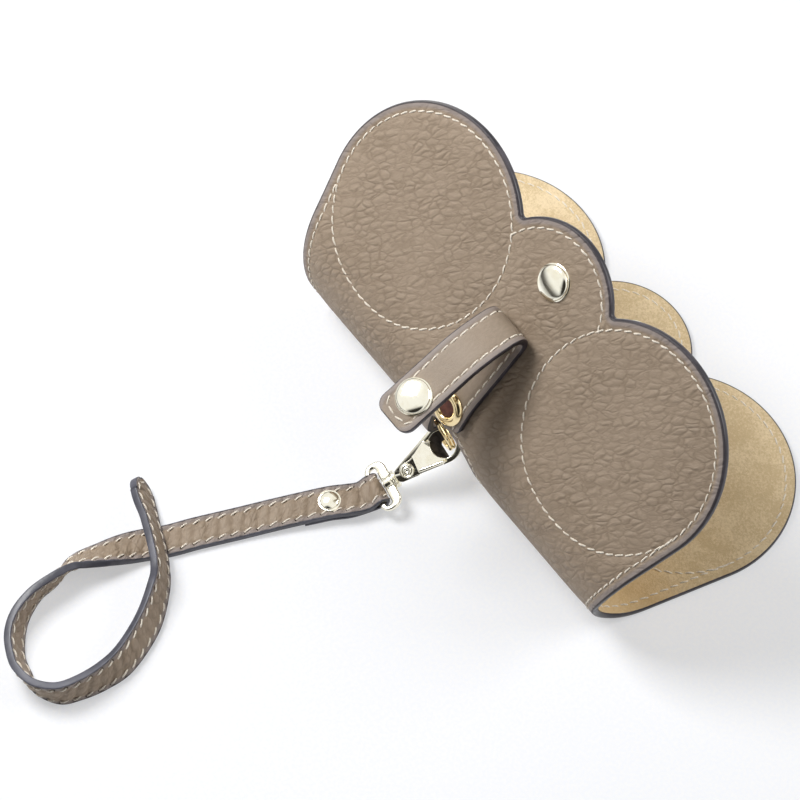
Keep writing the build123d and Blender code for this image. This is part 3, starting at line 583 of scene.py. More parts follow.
def painted_edge(name, loop, turn):
    """The bead of edge paint along one closed line of the flat pattern."""
    line = np.asarray(loop)
    away = -turn * beside(line)
    rings = []
    for i in range(edge_steps + 1):
        angle = math.pi * (0.5 - i / edge_steps)
        out = edge_bulge * math.cos(angle) ** 0.7 - edge_wrap * abs(math.sin(angle)) ** 6
        rings.append(laid_out(line + away * out, edge_middle + edge_half * math.sin(angle)))
    for side in (-0.8, 0.8):
        rings.append(laid_out(line - away * edge_wrap * 1.5, edge_middle + edge_half * side))
    count, around = len(line), len(rings)
    faces = [(r * count + i, r * count + (i + 1) % count,
              ((r + 1) % around) * count + (i + 1) % count, ((r + 1) % around) * count + i)
             for r in range(around) for i in range(count)]
    piece = mesh_piece(name, np.concatenate(rings), faces)
    face_outwards(piece)
    return piece


edge_dark = (0.018, 0.014, 0.020)
edge_worn = (0.065, 0.055, 0.068)
edge_painted_light = (0.15, 0.145, 0.145)
edge_paint, edge_shader, wire = new_material("edge_paint")
worn = wire.noise(120.0, 4.0)
# Towards the left end of the case the edge paint turns a lighter grey: a painted highlight where the
# lamp from the upper left lights those edges.
left = wire.node("ShaderNodeSeparateXYZ", {"Vector": wire.place()})
colour = worn.ramp(0.45, 0.75).tint(edge_dark, edge_worn)
join_up(edge_shader, Base_Color=left.ramp(-0.070, -0.048, 1.0, 0.0).tint(colour, edge_painted_light),
        Roughness=worn.ramp(0.3, 0.7, 0.28, 0.45), Normal=wire.bump(wire.noise(500.0, 3.0), 0.00006))
outer_edge = painted_edge("case_edge_paint", outline, 1)
hole_edge = painted_edge("hole_edge_paint", hole_line, -1)
for piece in (outer_edge, hole_edge):
    piece.data.materials.append(edge_paint)

for piece in (case_leather, case_suede, outer_edge, hole_edge):
    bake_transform(piece)
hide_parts("back_leather", "front_leather", "fold_leather")
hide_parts("back_lining", "front_lining", "fold_lining")

# Stitching of the case: a cream waxed thread in a saddle stitch, round each lobe, along every
# edge and round the hole, seen on the leather and, more faintly, on the suede.
stitch_pitch = 0.0032
stitch_length = 0.0024
stitch_width = 0.00056
sway_each_way = 0.07
thread_above = 0.00016
lining_thread_above = 0.0001
stitch_dip = 0.55
stitch_bow = 1.35
end_taper = 0.45
hole_share = 0.62
hole_ahead = 1.06
hole_sink = 0.32


def sewing_tree():
    """Stitches and needle holes along lines: each point's "out" is the way the surface faces."""
    tree = bpy.data.node_groups.new("saddle_stitch", "GeometryNodeTree")
    tree.is_modifier = True
    tree.interface.new_socket("Geometry", in_out="OUTPUT", socket_type="NodeSocketGeometry")
    for kind, names in (("Geometry", ("Geometry",)), ("Float", ("Pitch", "Length", "Width", "Slant")),
                        ("Material", ("Thread", "Hole"))):
        for name in names:
            tree.interface.new_socket(name, in_out="INPUT", socket_type="NodeSocket" + kind)
    given = tree.nodes.new("NodeGroupInput")
    size = {s.name: Wire(tree, s) for s in given.outputs}
    node = Wire(tree).node
    line = node("GeometryNodeMeshToCurve", {"Mesh": size["Geometry"]})
    line = node("GeometryNodeResampleCurve", {"Curve": line, "Length": size["Pitch"]}, mode="LENGTH")
    out = node("GeometryNodeInputNamedAttribute", {"Name": "out"}, data_type="FLOAT_VECTOR")
    turn = node("FunctionNodeAxesToRotation", {
        "Primary Axis": out, "Secondary Axis": node("GeometryNodeInputTangent")},
        primary_axis="Z", secondary_axis="X")
    sway = node("FunctionNodeRandomValue", {"Min_001": -sway_each_way, "Max_001": sway_each_way,
                                            "Seed": 4}, out=1, data_type="FLOAT")
    slant = node("ShaderNodeCombineXYZ", {"Z": size["Slant"] + sway})
    turn = node("FunctionNodeRotateRotation", {
        "Rotation": turn, "Rotate By": node("FunctionNodeEulerToRotation", {"Euler": slant})},
        rotation_space="LOCAL")
    half = size["Length"] / 2.0
    dip = size["Width"] * stitch_dip
    ends = [node("ShaderNodeCombineXYZ", {"X": half * side, "Z": dip * -1.0}) for side in (-1.0, 1.0)]
    thread = node("GeometryNodeCurveQuadraticBezier", {
        "Resolution": 7, "Start": ends[0], "End": ends[1],
        "Middle": node("ShaderNodeCombineXYZ", {"Z": dip * stitch_bow})})
    off = (node("GeometryNodeSplineParameter") - 0.5) * 2.0
    fourth = off * off * off * off
    thread = node("GeometryNodeSetCurveRadius", {"Curve": thread, "Radius": 1.0 - fourth * end_taper})
    section = node("GeometryNodeCurvePrimitiveCircle", {"Resolution": 7, "Radius": size["Width"] / 2.0})
    thread = node("GeometryNodeCurveToMesh", {"Curve": thread, "Profile Curve": section,
                                              "Fill Caps": True})
    thread = node("GeometryNodeSetShadeSmooth", {"Geometry": thread})
    swell = node("FunctionNodeRandomValue", {"Min_001": 0.9, "Max_001": 1.08, "Seed": 9}, out=1,
                 data_type="FLOAT")
    hole = node("GeometryNodeMeshCircle", {"Vertices": 8, "Radius": size["Width"] * hole_share},
                fill_type="NGON")
    hole = node("GeometryNodeTransform", {"Geometry": hole, "Translation": node(
        "ShaderNodeCombineXYZ", {"X": half * hole_ahead, "Z": size["Width"] * -hole_sink})})
    both = tree.nodes.new("GeometryNodeJoinGeometry")
    for shape, material, more in ((thread, "Thread", {"Scale": swell}), (hole, "Hole", {})):
        laid = node("GeometryNodeInstanceOnPoints", {
            "Points": line, "Instance": shape, "Rotation": turn, **more})
        laid = node("GeometryNodeRealizeInstances", {"Geometry": laid})
        laid = node("GeometryNodeSetMaterial", {"Geometry": laid, "Material": size[material]})
        feed(both.inputs[0], laid)
    tree.links.new(both.outputs[0], tree.nodes.new("NodeGroupOutput").inputs[0])
    return tree


thread_wax, thread_shader, ply_twist = mottled(
    "cream_thread", (2600.0, 3.0, 0.6), (0.35, 0.62), (0.68, 0.60, 0.49), (0.87, 0.81, 0.71),
    Roughness=0.7, Specular_IOR_Level=0.3)
join_up(thread_shader, Normal=ply_twist.bump(ply_twist, 0.00012))
# The needle holes are flat dark discs at the stitch ends: painted shade in place of the holes.
hole_dark = mottled("needle_hole_painted_shade", (900.0,), (0.3, 0.7), (0.03, 0.022, 0.016), (0.09, 0.068, 0.05),
                    Roughness=0.95, Specular_IOR_Level=0.0)[0]
saddle_stitch = sewing_tree()


def sewn(name, lines, slant=0.0, pitch=stitch_pitch, length=stitch_length, width=stitch_width):
    """A piece of stitches along lines of (points, outward directions, closed)."""
    edges, first = [], 0
    for line, away, closed in lines:
        count = len(line)
        edges += [(first + i, first + (i + 1) % count) for i in range(count if closed else count - 1)]
        first += count
    mesh = bpy.data.meshes.new(name)
    mesh.from_pydata(np.concatenate([line for line, away, closed in lines]).tolist(), edges, [])
    out = mesh.attributes.new("out", "FLOAT_VECTOR", "POINT")
    out.data.foreach_set("vector", np.concatenate([away for line, away, closed in lines]).ravel())
    guide = bpy.data.objects.new("guide", mesh)
    scene.collection.objects.link(guide)
    sewing = guide.modifiers.new("sewing", "NODES")
    sewing.node_group = saddle_stitch
    sockets = {s.name: s.identifier for s in saddle_stitch.interface.items_tree
               if s.in_out == "INPUT"}
    for label, value in (("Pitch", pitch), ("Length", length), ("Width", width), ("Slant", slant),
                         ("Thread", thread_wax), ("Hole", hole_dark)):
        sewing[sockets[label]] = value
    ready = guide.evaluated_get(bpy.context.evaluated_depsgraph_get())
    piece = bpy.data.objects.new(name, bpy.data.meshes.new_from_object(ready))
    piece.data.name = name
    scene.collection.objects.link(piece)
    bpy.data.objects.remove(guide)
    return piece


for name, offset, face in (
        ("case_stitching", outside - groove_depth + thread_above, 1),
        ("lining_stitching", -outside + 0.5 * groove_depth - lining_thread_above, -1)):
    lines = [(laid_out(line, offset),
              face * (laid_out(line, 0.001) - laid_out(line, 0.0)) * 1000, closed)
             for line, closed in sewn_lines]
    piece = sewn(name, lines, slant=0.16 * face)
    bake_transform(piece)

# The tab: two plies of smooth leather sewn together, with painted edges. Its tail is sewn inside
# the case, it goes through the hole and round the ring, up the front, and turns over at the top.
tab_left = -0.0078
tab_right = 0.0062
tab_eye_right = -0.0044
tab_half = 0.0011
tab_off_case = 0.0003
tab_eye_inside = 0.00195
tab_leg = outside + tab_off_case + tab_half
tab_eye = tab_eye_inside + tab_half
tab_tail_end = 0.030
tab_neck_reach = 0.017
tab_eye_reach = 0.0104
tab_taper_low = 0.0172
tab_taper_high = 0.0207
tab_turn_reach = 0.0527
tab_turn_radius = 0.0048
upper_level = 0.004
upper_bow_radius = 0.033
upper_bow = math.radians(22)
upper_straight = 0.024
tab_corner = 0.0036
tab_margin = 0.0023
edge_roll = 0.0003
edge_bead = ((0.97, 0.5), (0.86, 0.15), (0.6, 0.0), (0.0, -0.1), (-0.6, 0.0), (-0.86, 0.15),
             (-0.97, 0.5))
strap_gaps = [0.0, 0.0002, 0.0005, 0.0009, 0.0013, 0.0017, 0.002, 0.0023, 0.0026, 0.0029, 0.0034,
              0.0042]
strap_groove = 0.00022
strap_groove_width = 0.0006
edge_press = 0.00009
edge_press_width = 0.0005
pucker_skew = 0.35


def rolled_end(half, from_end):
    """Half the thickness near a strap's cut end, where its two edges are rounded over."""
    short = np.clip(edge_roll - from_end, 0, edge_roll)
    return half - edge_roll + np.sqrt(edge_roll**2 - short**2)


class Strap:
    """A flat strap along a path: its sections, and where a point of its face is."""

    def __init__(self, centres, across, widths, thickness):
        self.centres = np.asarray(centres, dtype=float)
        steps = np.linalg.norm(np.diff(self.centres, axis=0), axis=1)
        self.along = np.concatenate([[0.0], np.cumsum(steps)])
        ahead = np.gradient(self.centres, axis=0)
        ahead /= np.linalg.norm(ahead, axis=1)[:, None]
        across = np.asarray(across, dtype=float)
        across -= ahead * (across * ahead).sum(axis=1)[:, None]
        self.across = across / np.linalg.norm(across, axis=1)[:, None]
        self.up = np.cross(self.across, ahead)
        self.low, self.high = (np.asarray(w, dtype=float) for w in widths)
        self.half = np.asarray(thickness, dtype=float) / 2

    def at(self, u, v, lift, face):
        """Points of a face at u along and v across, lifted off it, with outward directions."""
        def between(rows):
            return np.stack([np.interp(u, self.along, column) for column in rows.T], axis=1)
        up = between(self.up) * face
        spot = between(self.centres) + between(self.across) * np.asarray(v)[:, None]
        return spot + up * (np.interp(u, self.along, self.half) + lift)[:, None], up

    def build(self, name, face_material, edge_material, rows, crown, pucker=0.0, pitch=1.0):
        """The closed mesh, with a groove under each sewn row of (u, v) points, and puckers
        across it as deep as pucker, one to each stitch."""
        full = (self.high - self.low).max() / 2 - edge_roll
        gaps = [g for g in strap_gaps if g < full * 0.92] + [full]
        width = (self.high - self.low) / 2
        middle = (self.high + self.low) / 2
        shares = [-1 + g / full for g in gaps] + [1 - g / full for g in reversed(gaps[:-1])]
        count = len(self.along)
        rings = []
        for face, v_edge in ((1, self.high), (-1, self.low)):
            for share in shares[::face]:
                v = middle + share * np.maximum(width - edge_roll, 0.00002)
                uv = np.stack([self.along, v], axis=1)
                near = gap_to(uv, [(row, False) for row in rows])
                rim = np.minimum(np.abs(v - self.low), np.abs(self.high - v))
                drop = -strap_groove * np.exp(-(near / strap_groove_width)**2)
                drop = drop + crown * (1 - share**4) - edge_press * np.exp(-(rim / edge_press_width)**2)
                lag = 2 * np.pi * (self.along / pitch + pucker_skew * share * face)
                drop = drop - pucker * (0.5 + 0.5 * np.cos(lag)) ** 3 * (rim > 0.0003)
                rings.append((self.at(self.along, v, drop, face)[0], uv, rim, 0))
            for share, inset in edge_bead:
                v = v_edge - face * edge_roll * inset
                place = (self.centres + self.across * v[:, None]
                         + self.up * (face * share * (self.half - 0.00005))[:, None])
                rings.append((place, np.stack([self.along, v], axis=1), np.zeros(count), 1))
        around = len(rings)
        faces, paints = [], []
        for r in range(around):
            s = (r + 1) % around
            for i in range(count - 1):
                faces.append((r * count + i, r * count + i + 1, s * count + i + 1, s * count + i))
                paints.append(1 if rings[r][3] or rings[s][3] or i >= count - 4 else 0)
        for i in (0, count - 1):
            faces.append(tuple(r * count + i for r in range(around)))
            paints.append(1)
        places, uvs, rim_gaps = (np.concatenate([r[k] for r in rings]) for k in range(3))
        piece = mesh_piece(name, places, faces)
        piece.data.materials.append(face_material)
        piece.data.materials.append(edge_material)
        piece.data.polygons.foreach_set("material_index", paints)
        mark(piece, uvs, rim_gaps)
        face_outwards(piece)
        return piece

    def sewn_rows(self, rows, lift):
        """The rows as lines for sewn(), on both faces."""
        lines = []
        for face in (1, -1):
            for row in map(np.asarray, rows):
                lines.append((*self.at(row[:, 0], row[:, 1], lift, face), False))
        return lines


tab_neck = []
for share in np.linspace(0, 1, 8)[1:-1]:
    ease = share * share * (3 - 2 * share)
    tab_neck.append((tab_neck_reach + (tab_eye_reach - tab_neck_reach) * share,
                     tab_leg + (tab_eye - tab_leg) * ease))
tab_route = [(reach, -tab_leg) for reach in np.linspace(tab_tail_end, tab_neck_reach, 12)]
tab_route += [(reach, -offset) for reach, offset in tab_neck]
tab_route += [(tab_eye_reach - tab_eye * math.cos(angle), tab_eye * math.sin(angle))
              for angle in np.linspace(-math.pi / 2, math.pi / 2, 17)]
tab_route += tab_neck[::-1]
tab_route += [(reach, tab_leg) for reach in np.linspace(tab_neck_reach, tab_turn_reach, 44)]
tab_line = [on_sheet(reach, offset)[0] for reach, offset in tab_route]
tab_upper_from = len(tab_line)
turn_start, turn_out = on_sheet(tab_turn_reach, tab_leg)
turn_centre = (turn_start[0] + tab_turn_radius * turn_out[0],
               turn_start[1] + tab_turn_radius * turn_out[1])
turn_from = math.atan2(-turn_out[1], -turn_out[0])
tab_line += [(turn_centre[0] + tab_turn_radius * math.cos(angle),
              turn_centre[1] + tab_turn_radius * math.sin(angle))
             for angle in np.linspace(turn_from, math.pi / 2, 22)[1:]]
top_y, top_z = tab_line[-1]
tab_line += [(top_y - along, top_z) for along in np.linspace(0, upper_level, 4)[1:]]
tab_line += [(top_y - upper_level - upper_bow_radius * math.sin(tilt),
              top_z - upper_bow_radius * (1 - math.cos(tilt)))
             for tilt in np.linspace(0, upper_bow, 18)[1:]]
bow_end = tab_line[-1]
tip_turns = np.radians([12, 25, 37, 48, 58, 67, 75, 82, 87])
tip_count = len(tip_turns)
tip_steps = np.concatenate([np.linspace(0, upper_straight - tab_corner, 18)[1:],
                            upper_straight - tab_corner * (1 - np.sin(tip_turns))])
tab_line += [(bow_end[0] - along * math.cos(upper_bow), bow_end[1] - along * math.sin(upper_bow))
             for along in tip_steps]
tab_line = np.array(tab_line)
neck_z, taper_z = (on_sheet(reach, tab_leg)[0][1] for reach in (tab_taper_low, tab_taper_high))
climb = np.clip((tab_line[:, 1] - neck_z) / (taper_z - neck_z), 0, 1)
climb = climb * climb * (3 - 2 * climb)
climb[tab_upper_from:] = 1.0
tab_low = np.full(len(tab_line), tab_left)
tab_high = tab_eye_right + climb * (tab_right - tab_eye_right)
tab_centre = (tab_left + tab_right) / 2
tab_wide = (tab_right - tab_left) / 2
from_tip = upper_straight - tip_steps[-tip_count:]
narrow = np.sqrt(tab_corner**2 - (tab_corner - from_tip)**2) + tab_wide - tab_corner
tab_low[-tip_count:] = tab_centre - narrow
tab_high[-tip_count:] = tab_centre + narrow
tab_heights = np.full(len(tab_line), 2 * tab_half)
tab_heights[-tip_count:] = 2 * rolled_end(tab_half, from_tip)
tab = Strap(np.column_stack([np.zeros(len(tab_line)), tab_line]), [(1, 0, 0)] * len(tab_line),
            (tab_low, tab_high), tab_heights)
tab_end = tab.along[-1] + from_tip[-1]
corner_from = tab_end - tab_corner
row_corner = tab_corner - tab_margin
row_side = tab_wide - tab_corner
first_sewn = 46
straight_rows = np.linspace(float(tab.along[first_sewn]), corner_from, 60)
corner_turns = np.linspace(0, math.pi / 2, 6)[1:]
tab_row = [(u, np.interp(u, tab.along, tab_high) - tab_margin) for u in straight_rows]
for side, turns in ((1, corner_turns), (-1, corner_turns[::-1])):
    tab_row += [(corner_from + row_corner * math.sin(a),
                 tab_centre + side * (row_side + row_corner * math.cos(a))) for a in turns]
tab_row += [(u, tab_left + tab_margin) for u in straight_rows[::-1]]

tab_taupe = (0.325, 0.257, 0.195)
tab_taupe_dark = (0.235, 0.183, 0.132)
smooth_skin, smooth_shader, wire = new_material("smooth_taupe")
pattern = wire.pattern()
drawn = wire.node("ShaderNodeMapping", {"Vector": pattern, "Scale": (0.45, 1.0, 1.0)})
grain = wire.noise(150.0, 4.0, 0.6, 0.4, at=drawn)
pores = wire.cells(pattern, 190.0).ramp(0.0, 0.2)
broad = wire.noise(7.0, 3.0, at=pattern)
shade = grain.ramp(0.35, 0.7, 0.45, 0.0) + broad.ramp(0.35, 0.65, 0.0, 0.3)
colour = wire.rim_gap().ramp(1.2, 2.3, 0.65, 0.0).tint(shade.tint(tab_taupe, tab_taupe_dark), rim_mauve)
join_up(smooth_shader, Base_Color=colour, Roughness=grain.ramp(0.3, 0.7, 0.46, 0.58),
        Specular_IOR_Level=0.4, Normal=wire.bump(grain * 0.7 + pores * 0.3, 0.00008))

tab_strap = tab.build("tab_strap", smooth_skin, edge_paint, [tab_row], crown=0.00006)
tab_stitches = sewn("tab_stitching", tab.sewn_rows([tab_row], -0.00008), pitch=0.0036,
                    length=0.0029, width=0.00058, slant=0.08)
tab_from, tab_to = ((0, turn_centre[0] + turn_out[0] * shift, turn_centre[1] + turn_out[1] * shift)
                    for shift in (-0.004, 0.0035))
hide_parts("tab_lower", "tab_turn", "tab_upper")
for piece in (tab_strap, tab_stitches):
    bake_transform(piece)
    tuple(tab_from)
    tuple(tab_to)

# The wrist strap: the same pebbled leather folded on itself and sewn along both edges. One end
# goes round the bar of the eye and is riveted, and the other is free and lies in a loose curl.
# Its stations are (x, y, z) in millimetres and the direction across it.
strap_width = 0.010
strap_thick = 0.0024
strap_single = 0.0012
strap_margin = 0.0018
strap_step = 0.00055
strap_pitch = 0.0039
eye_wire = 0.001
bar_gap = 0.00035
hook_heading = np.array((0.178, 0.899, 0.400))
hook_heading /= np.linalg.norm(hook_heading)


def squared_off(direction):
    """A direction turned square to the hook's heading, at length one."""
    direction = np.array(direction)
    direction -= hook_heading * (direction @ hook_heading)
    return direction / np.linalg.norm(direction)


eye_up = squared_off((-0.110, -0.310, 0.940))
bar_along = np.cross(hook_heading, eye_up)
eye_bar = np.array((-0.005053, -0.076533, 0.003860))
strap_return = [
    (-14.4, -97.2, 0.64, 0.91, -0.41, 0), (-12.6, -93.6, 1.04, 0.91, -0.41, 0),
    (-10.6, -89.6, 1.45, 0.92, -0.39, 0), (-7.4, -84.0, 1.80, 0.95, -0.31, 0)]
strap_run = [
    (-7.6, -84.6, 3.72, 0.95, -0.31, 0), (-10.6, -89.6, 3.35, 0.92, -0.39, 0),
    (-14.7, -98.0, 2.50, 0.91, -0.42, 0), (-18.7, -106.6, 1.70, 0.91, -0.42, 0),
    (-22.4, -115.2, 1.25, 0.92, -0.39, 0), (-27.2, -126.7, 1.25, 0.93, -0.37, 0),
    (-30.4, -135.1, 1.25, 0.93, -0.37, 0), (-34.6, -144.2, 1.75, 0.92, -0.38, 0.05),
    (-37.4, -153.2, 3.60, 0.77, -0.42, 0.48), (-39.8, -161.9, 4.90, 0.61, -0.21, 0.76),
    (-38.9, -169.8, 5.50, 0.18, -0.08, 0.98), (-38.4, -176.9, 5.50, 0.09, -0.21, 0.97),
    (-35.7, -184.0, 5.40, -0.02, -0.30, 0.95), (-31.6, -189.0, 5.30, -0.08, -0.35, 0.93),
    (-26.6, -192.3, 5.30, -0.13, -0.29, 0.95), (-21.2, -193.9, 5.30, 0.07, -0.35, 0.93),
    (-14.6, -193.9, 5.60, 0.08, -0.10, 0.99), (-8.6, -189.8, 5.50, -0.14, -0.01, 0.99),
    (-6.2, -184.1, 5.50, -0.21, 0.04, 0.98), (-5.1, -176.0, 5.20, -0.36, 0.13, 0.92),
    (-5.9, -167.6, 5.00, -0.55, 0.07, 0.83), (-11.0, -156.0, 5.00, -0.50, -0.20, 0.82),
    (-17.9, -147.1, 6.00, -0.26, -0.31, 0.91), (-22.6, -143.1, 7.70, 0.08, -0.44, 0.89),
    (-28.8, -140.0, 7.90, 0.17, -0.44, 0.88), (-36.3, -137.0, 6.60, 0.19, -0.42, 0.88),
    (-42.8, -134.6, 5.60, 0.11, -0.51, 0.85), (-47.3, -132.8, 5.20, 0.05, -0.52, 0.85),
    (-51.1, -131.4, 5.20, 0.07, -0.48, 0.87)]
loop_radius = eye_wire + bar_gap + strap_single / 2
top_lift = eye_wire + bar_gap + strap_single - strap_thick / 2
stations = [(np.array(s[:3]) / 1000, np.array(s[3:]), strap_single) for s in strap_return]
for step in range(7):
    angle = -math.pi / 2 + step * math.pi / 6
    stations.append((eye_bar + hook_heading * loop_radius * math.cos(angle)
                     + eye_up * loop_radius * math.sin(angle), bar_along, strap_single))
stations.append((eye_bar - hook_heading * 0.004 + eye_up * top_lift, bar_along, strap_thick))
stations += [(np.array(s[:3]) / 1000, np.array(s[3:]), strap_thick) for s in strap_run]
sections = []
for i in range(len(stations) - 1):
    a, b, c, d = (stations[min(max(j, 0), len(stations) - 1)] for j in (i - 1, i, i + 1, i + 2))
    parts = max(2, round(np.linalg.norm(c[0] - b[0]) / strap_step))
    for q in (k / parts for k in range(parts)):
        spot, across = (
            (2 * b[m] + (c[m] - a[m]) * q + (2 * a[m] - 5 * b[m] + 4 * c[m] - d[m]) * q**2
             + (3 * b[m] - a[m] - 3 * c[m] + d[m]) * q**3) / 2 for m in (0, 1))
        sections.append((spot, across, b[2] + (c[2] - b[2]) * q, strap_width / 2))
tip = stations[-1][0]
tip_across = sections[-1][1]
while np.linalg.norm(sections[-1][0] - tip) < strap_width / 2:
    sections.pop()
tip_ahead = (tip - sections[-1][0]) / np.linalg.norm(tip - sections[-1][0])
for turned_by in np.radians([0, 14, 27, 40, 52, 63, 72, 80, 86]):
    from_end = strap_width / 2 * (1 - math.sin(turned_by))
    sections.append((tip - tip_ahead * from_end, tip_across, 2 * rolled_end(strap_thick / 2, from_end),
                     strap_width / 2 * math.cos(turned_by)))
spots, acrosses, heights, halves = (np.array(column) for column in zip(*sections))
strap = Strap(spots, acrosses, (-halves, halves), heights)
row_half = strap_width / 2 - strap_margin
row_end = strap.along[-1] - strap_width / 2
row_run = np.linspace(0.002, row_end, 260)
strap_row = [(u, row_half) for u in row_run]
strap_row += [(row_end + row_half * math.sin(a), row_half * math.cos(a))
              for a in np.linspace(0, math.pi, 16)[1:-1]]
strap_row += [(u, -row_half) for u in row_run[::-1]]
strap_paint, strap_edge_shader, worn = mottled(
    "strap_edge_paint", (150.0, 4.0), (0.35, 0.7), (0.042, 0.042, 0.056), (0.088, 0.088, 0.112))
join_up(strap_edge_shader, Roughness=worn.ramp(0.3, 0.7, 0.34, 0.5),
        Normal=worn.bump(worn.noise(450.0, 3.0), 0.00008))
wrist_strap = strap.build("wrist_strap_leather", leather_skin, strap_paint, [strap_row],
                          crown=0.00012, pucker=0.00042, pitch=strap_pitch)
strap_stitches = sewn("wrist_strap_stitching", strap.sewn_rows([strap_row], -0.00004),
                      pitch=strap_pitch, length=0.0026, width=0.00056, slant=0.38)
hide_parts("wrist_strap")
for piece in (wrist_strap, strap_stitches):
    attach(piece, "strap")


# The metal parts are polished and plated: caps, hook and eye in a pale gold, the ring and the
# snap's stud in a yellower one, with a slight cloudiness and fine hairlines from wear.
def plating(name, bright, deep):
    """Polished plating, with hairline scratches in two directions."""
    material, shader, wire = new_material(name)
    place = wire.place()
    cloud = wire.noise(300.0, 3.0, at=place)
    hairs = []
    for turn in (0.5, 2.1):
        drawn = wire.node("ShaderNodeMapping", {"Vector": place, "Rotation": (0.3, 0.2, turn),
                                                "Scale": (40.0, 2600.0, 2600.0)})
        hairs.append(wire.noise(1.0, at=drawn).ramp(0.6, 0.72))
    scratch = wire.maths("MAXIMUM", *hairs)
    join_up(shader, Base_Color=cloud.ramp(0.4, 0.75).tint(bright, deep), Metallic=1.0,
            Roughness=cloud.ramp(0.3, 0.7, 0.07, 0.13) + scratch * 0.08,
            Normal=wire.bump(cloud * 0.3 + scratch * 0.1, 0.00001))
    return material


pale_plating = plating("pale_gold_plating", (0.93, 0.90, 0.77), (0.87, 0.82, 0.65))
yellow_plating = plating("yellow_gold_plating", (0.87, 0.71, 0.42), (0.76, 0.58, 0.29))
for node in ("closure_socket", "closure_stud", "closure_post", "tab_socket", "swivel_pin",
             "strap_rivet_back", "ring"):
    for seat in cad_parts[node].material_slots:
        seat.material = yellow_plating if node == "ring" else pale_plating


def metal_piece(piece, body, *nodes, finish=pale_plating, slot="pale_gold"):
    """Finishes a metal piece, shades it by its edges, and puts it on its body."""
    face_outwards(piece)
    piece.data.materials.clear()
    piece.data.materials.append(finish)
    piece.data.polygons.foreach_set("material_index", [0] * len(piece.data.polygons))
    piece.data.polygons.foreach_set("use_smooth", [True] * len(piece.data.polygons))
    piece.data.set_sharp_from_angle(angle=math.radians(38))
    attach(piece, body)
    if nodes:
        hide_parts(*nodes)


def turned(name, start, axis, profile, around=64):
    """A turned piece: a profile of (radius, height) in millimetres, taken round an axis."""
    axis = Vector(axis).normalized()
    side = axis.orthogonal().normalized()
    points, faces, rings = [], [], []
    for radius, height in profile:
        count = around if radius else 1
        rings.append([len(points) + i for i in range(count)])
        for i in range(count):
            spoke = Matrix.Rotation(2 * math.pi * i / around, 3, axis) @ side
            points.append(Vector(start) + axis * height / 1000 + spoke * radius / 1000)
    for low, high in zip(rings, rings[1:]):
        for i in range(around):
            j = (i + 1) % around
            corners = (low[i % len(low)], low[j % len(low)], high[j % len(high)], high[i % len(high)])
            faces.append(tuple(dict.fromkeys(corners)))
    return mesh_piece(name, points, faces)


# Caps: each is a low dome on a thin rolled flange. One closes the case, one the tab, and a
# smaller one on a washer is the head of the strap's rivet.
cap_radius = 5.7
cap_height = 2.3
snap_reach = bump_reach + 0.0077
tab_snap_from_end = 0.0097
rivet_radius = 2.9
rivet_height = 1.5


def dome(radius, low, high, steps=14):
    """The profile of a low dome, from its rim to its middle."""
    rise = high - low
    sphere = (radius**2 + rise**2) / (2 * rise)
    turn = math.asin(radius / sphere)
    return [(sphere * math.sin(a), high - sphere * (1 - math.cos(a)))
            for a in np.linspace(turn, 0, steps)[:-1]] + [(0, high)]


cap_steps = ((0.4, -0.05), (0.08, 0.06), (0, 0.24), (0.08, 0.42), (0.36, 0.52), (0.46, 0.62),
             (0.46, 0.95), (0.52, 1.2), (0.68, 1.42), (0.94, 1.60), (1.28, 1.74))
cap_profile = [(0, -0.05), *((cap_radius - inset, height) for inset, height in cap_steps),
               *dome(cap_radius - 1.7, 1.85, cap_height)]
(cap_y, cap_z), cap_out = on_sheet(snap_reach, outside)
metal_piece(turned("closure_cap_dome", (0, cap_y, cap_z), (0, *cap_out), cap_profile),
            "upper_half", "closure_cap")
tab_cap_spot, tab_cap_up = tab.at([tab_end - tab_snap_from_end], [tab_centre], 0.0, -1)
metal_piece(turned("tab_cap_dome", tab_cap_spot[0], tab_cap_up[0], cap_profile),
            "tab_flap", "tab_cap")
rivet_steps = ((-0.5, -0.1), (-0.6, 0.02), (-0.5, 0.14), (-0.12, 0.16), (0, 0.3), (0, 0.5), (0.1, 0.68))
rivet_profile = [(0, -0.1), *((rivet_radius - inset, height) for inset, height in rivet_steps),
                 *dome(rivet_radius - 0.2, 0.76, rivet_height)]
rivet_along = strap.along[np.argmin(np.linalg.norm(
    strap.centres - np.array(strap_run[1][:3]) / 1000, axis=1))]
rivet_spot, rivet_up = strap.at([rivet_along], [0.0], 0.0, -1)
metal_piece(turned("strap_rivet_head", rivet_spot[0], rivet_up[0], rivet_profile, 40),
            "strap", "strap_rivet")

# The snap's stud on the tab: a broad flange round a hollow knob, with the leather at the bottom
# of its bore coloured near black, painted shade in the bore.
stud_profile = [(0, -0.05), (5.4, -0.05), (5.7, 0.1), (5.75, 0.35), (5.6, 0.7), (5.2, 1.05),
                (4.7, 1.3), (4.15, 1.45), (3.6, 1.45), (3.2, 1.3), (2.95, 1.0), (2.8, 0.4), (0, 0.3)]
bore_profile = [(0, 0.2), (2.7, 0.35), (2.84, 0.6), (2.4, 0.72), (0, 0.66)]
stud_reach = 0.0245
(stud_y, stud_z), stud_out = on_sheet(stud_reach, tab_leg + tab_half)
stud_spot = (tab_centre, stud_y, stud_z)
metal_piece(turned("tab_stud_ring", stud_spot, (0, *stud_out), stud_profile), "upper_half",
            "tab_stud", "tab_post", finish=yellow_plating, slot="yellow_gold")
# The leather at the bottom of the bore is coloured dark red-brown: painted shade.
bore_painted_shade = mottled("bore_painted_shade", (900.0,), (0.3, 0.7), (0.05, 0.012, 0.008),
                       (0.10, 0.03, 0.018), Roughness=0.8)[0]
bore = turned("tab_stud_bore", stud_spot, (0, *stud_out), bore_profile, 32)
face_outwards(bore)
bore.data.materials.append(bore_painted_shade)
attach(bore, "upper_half")
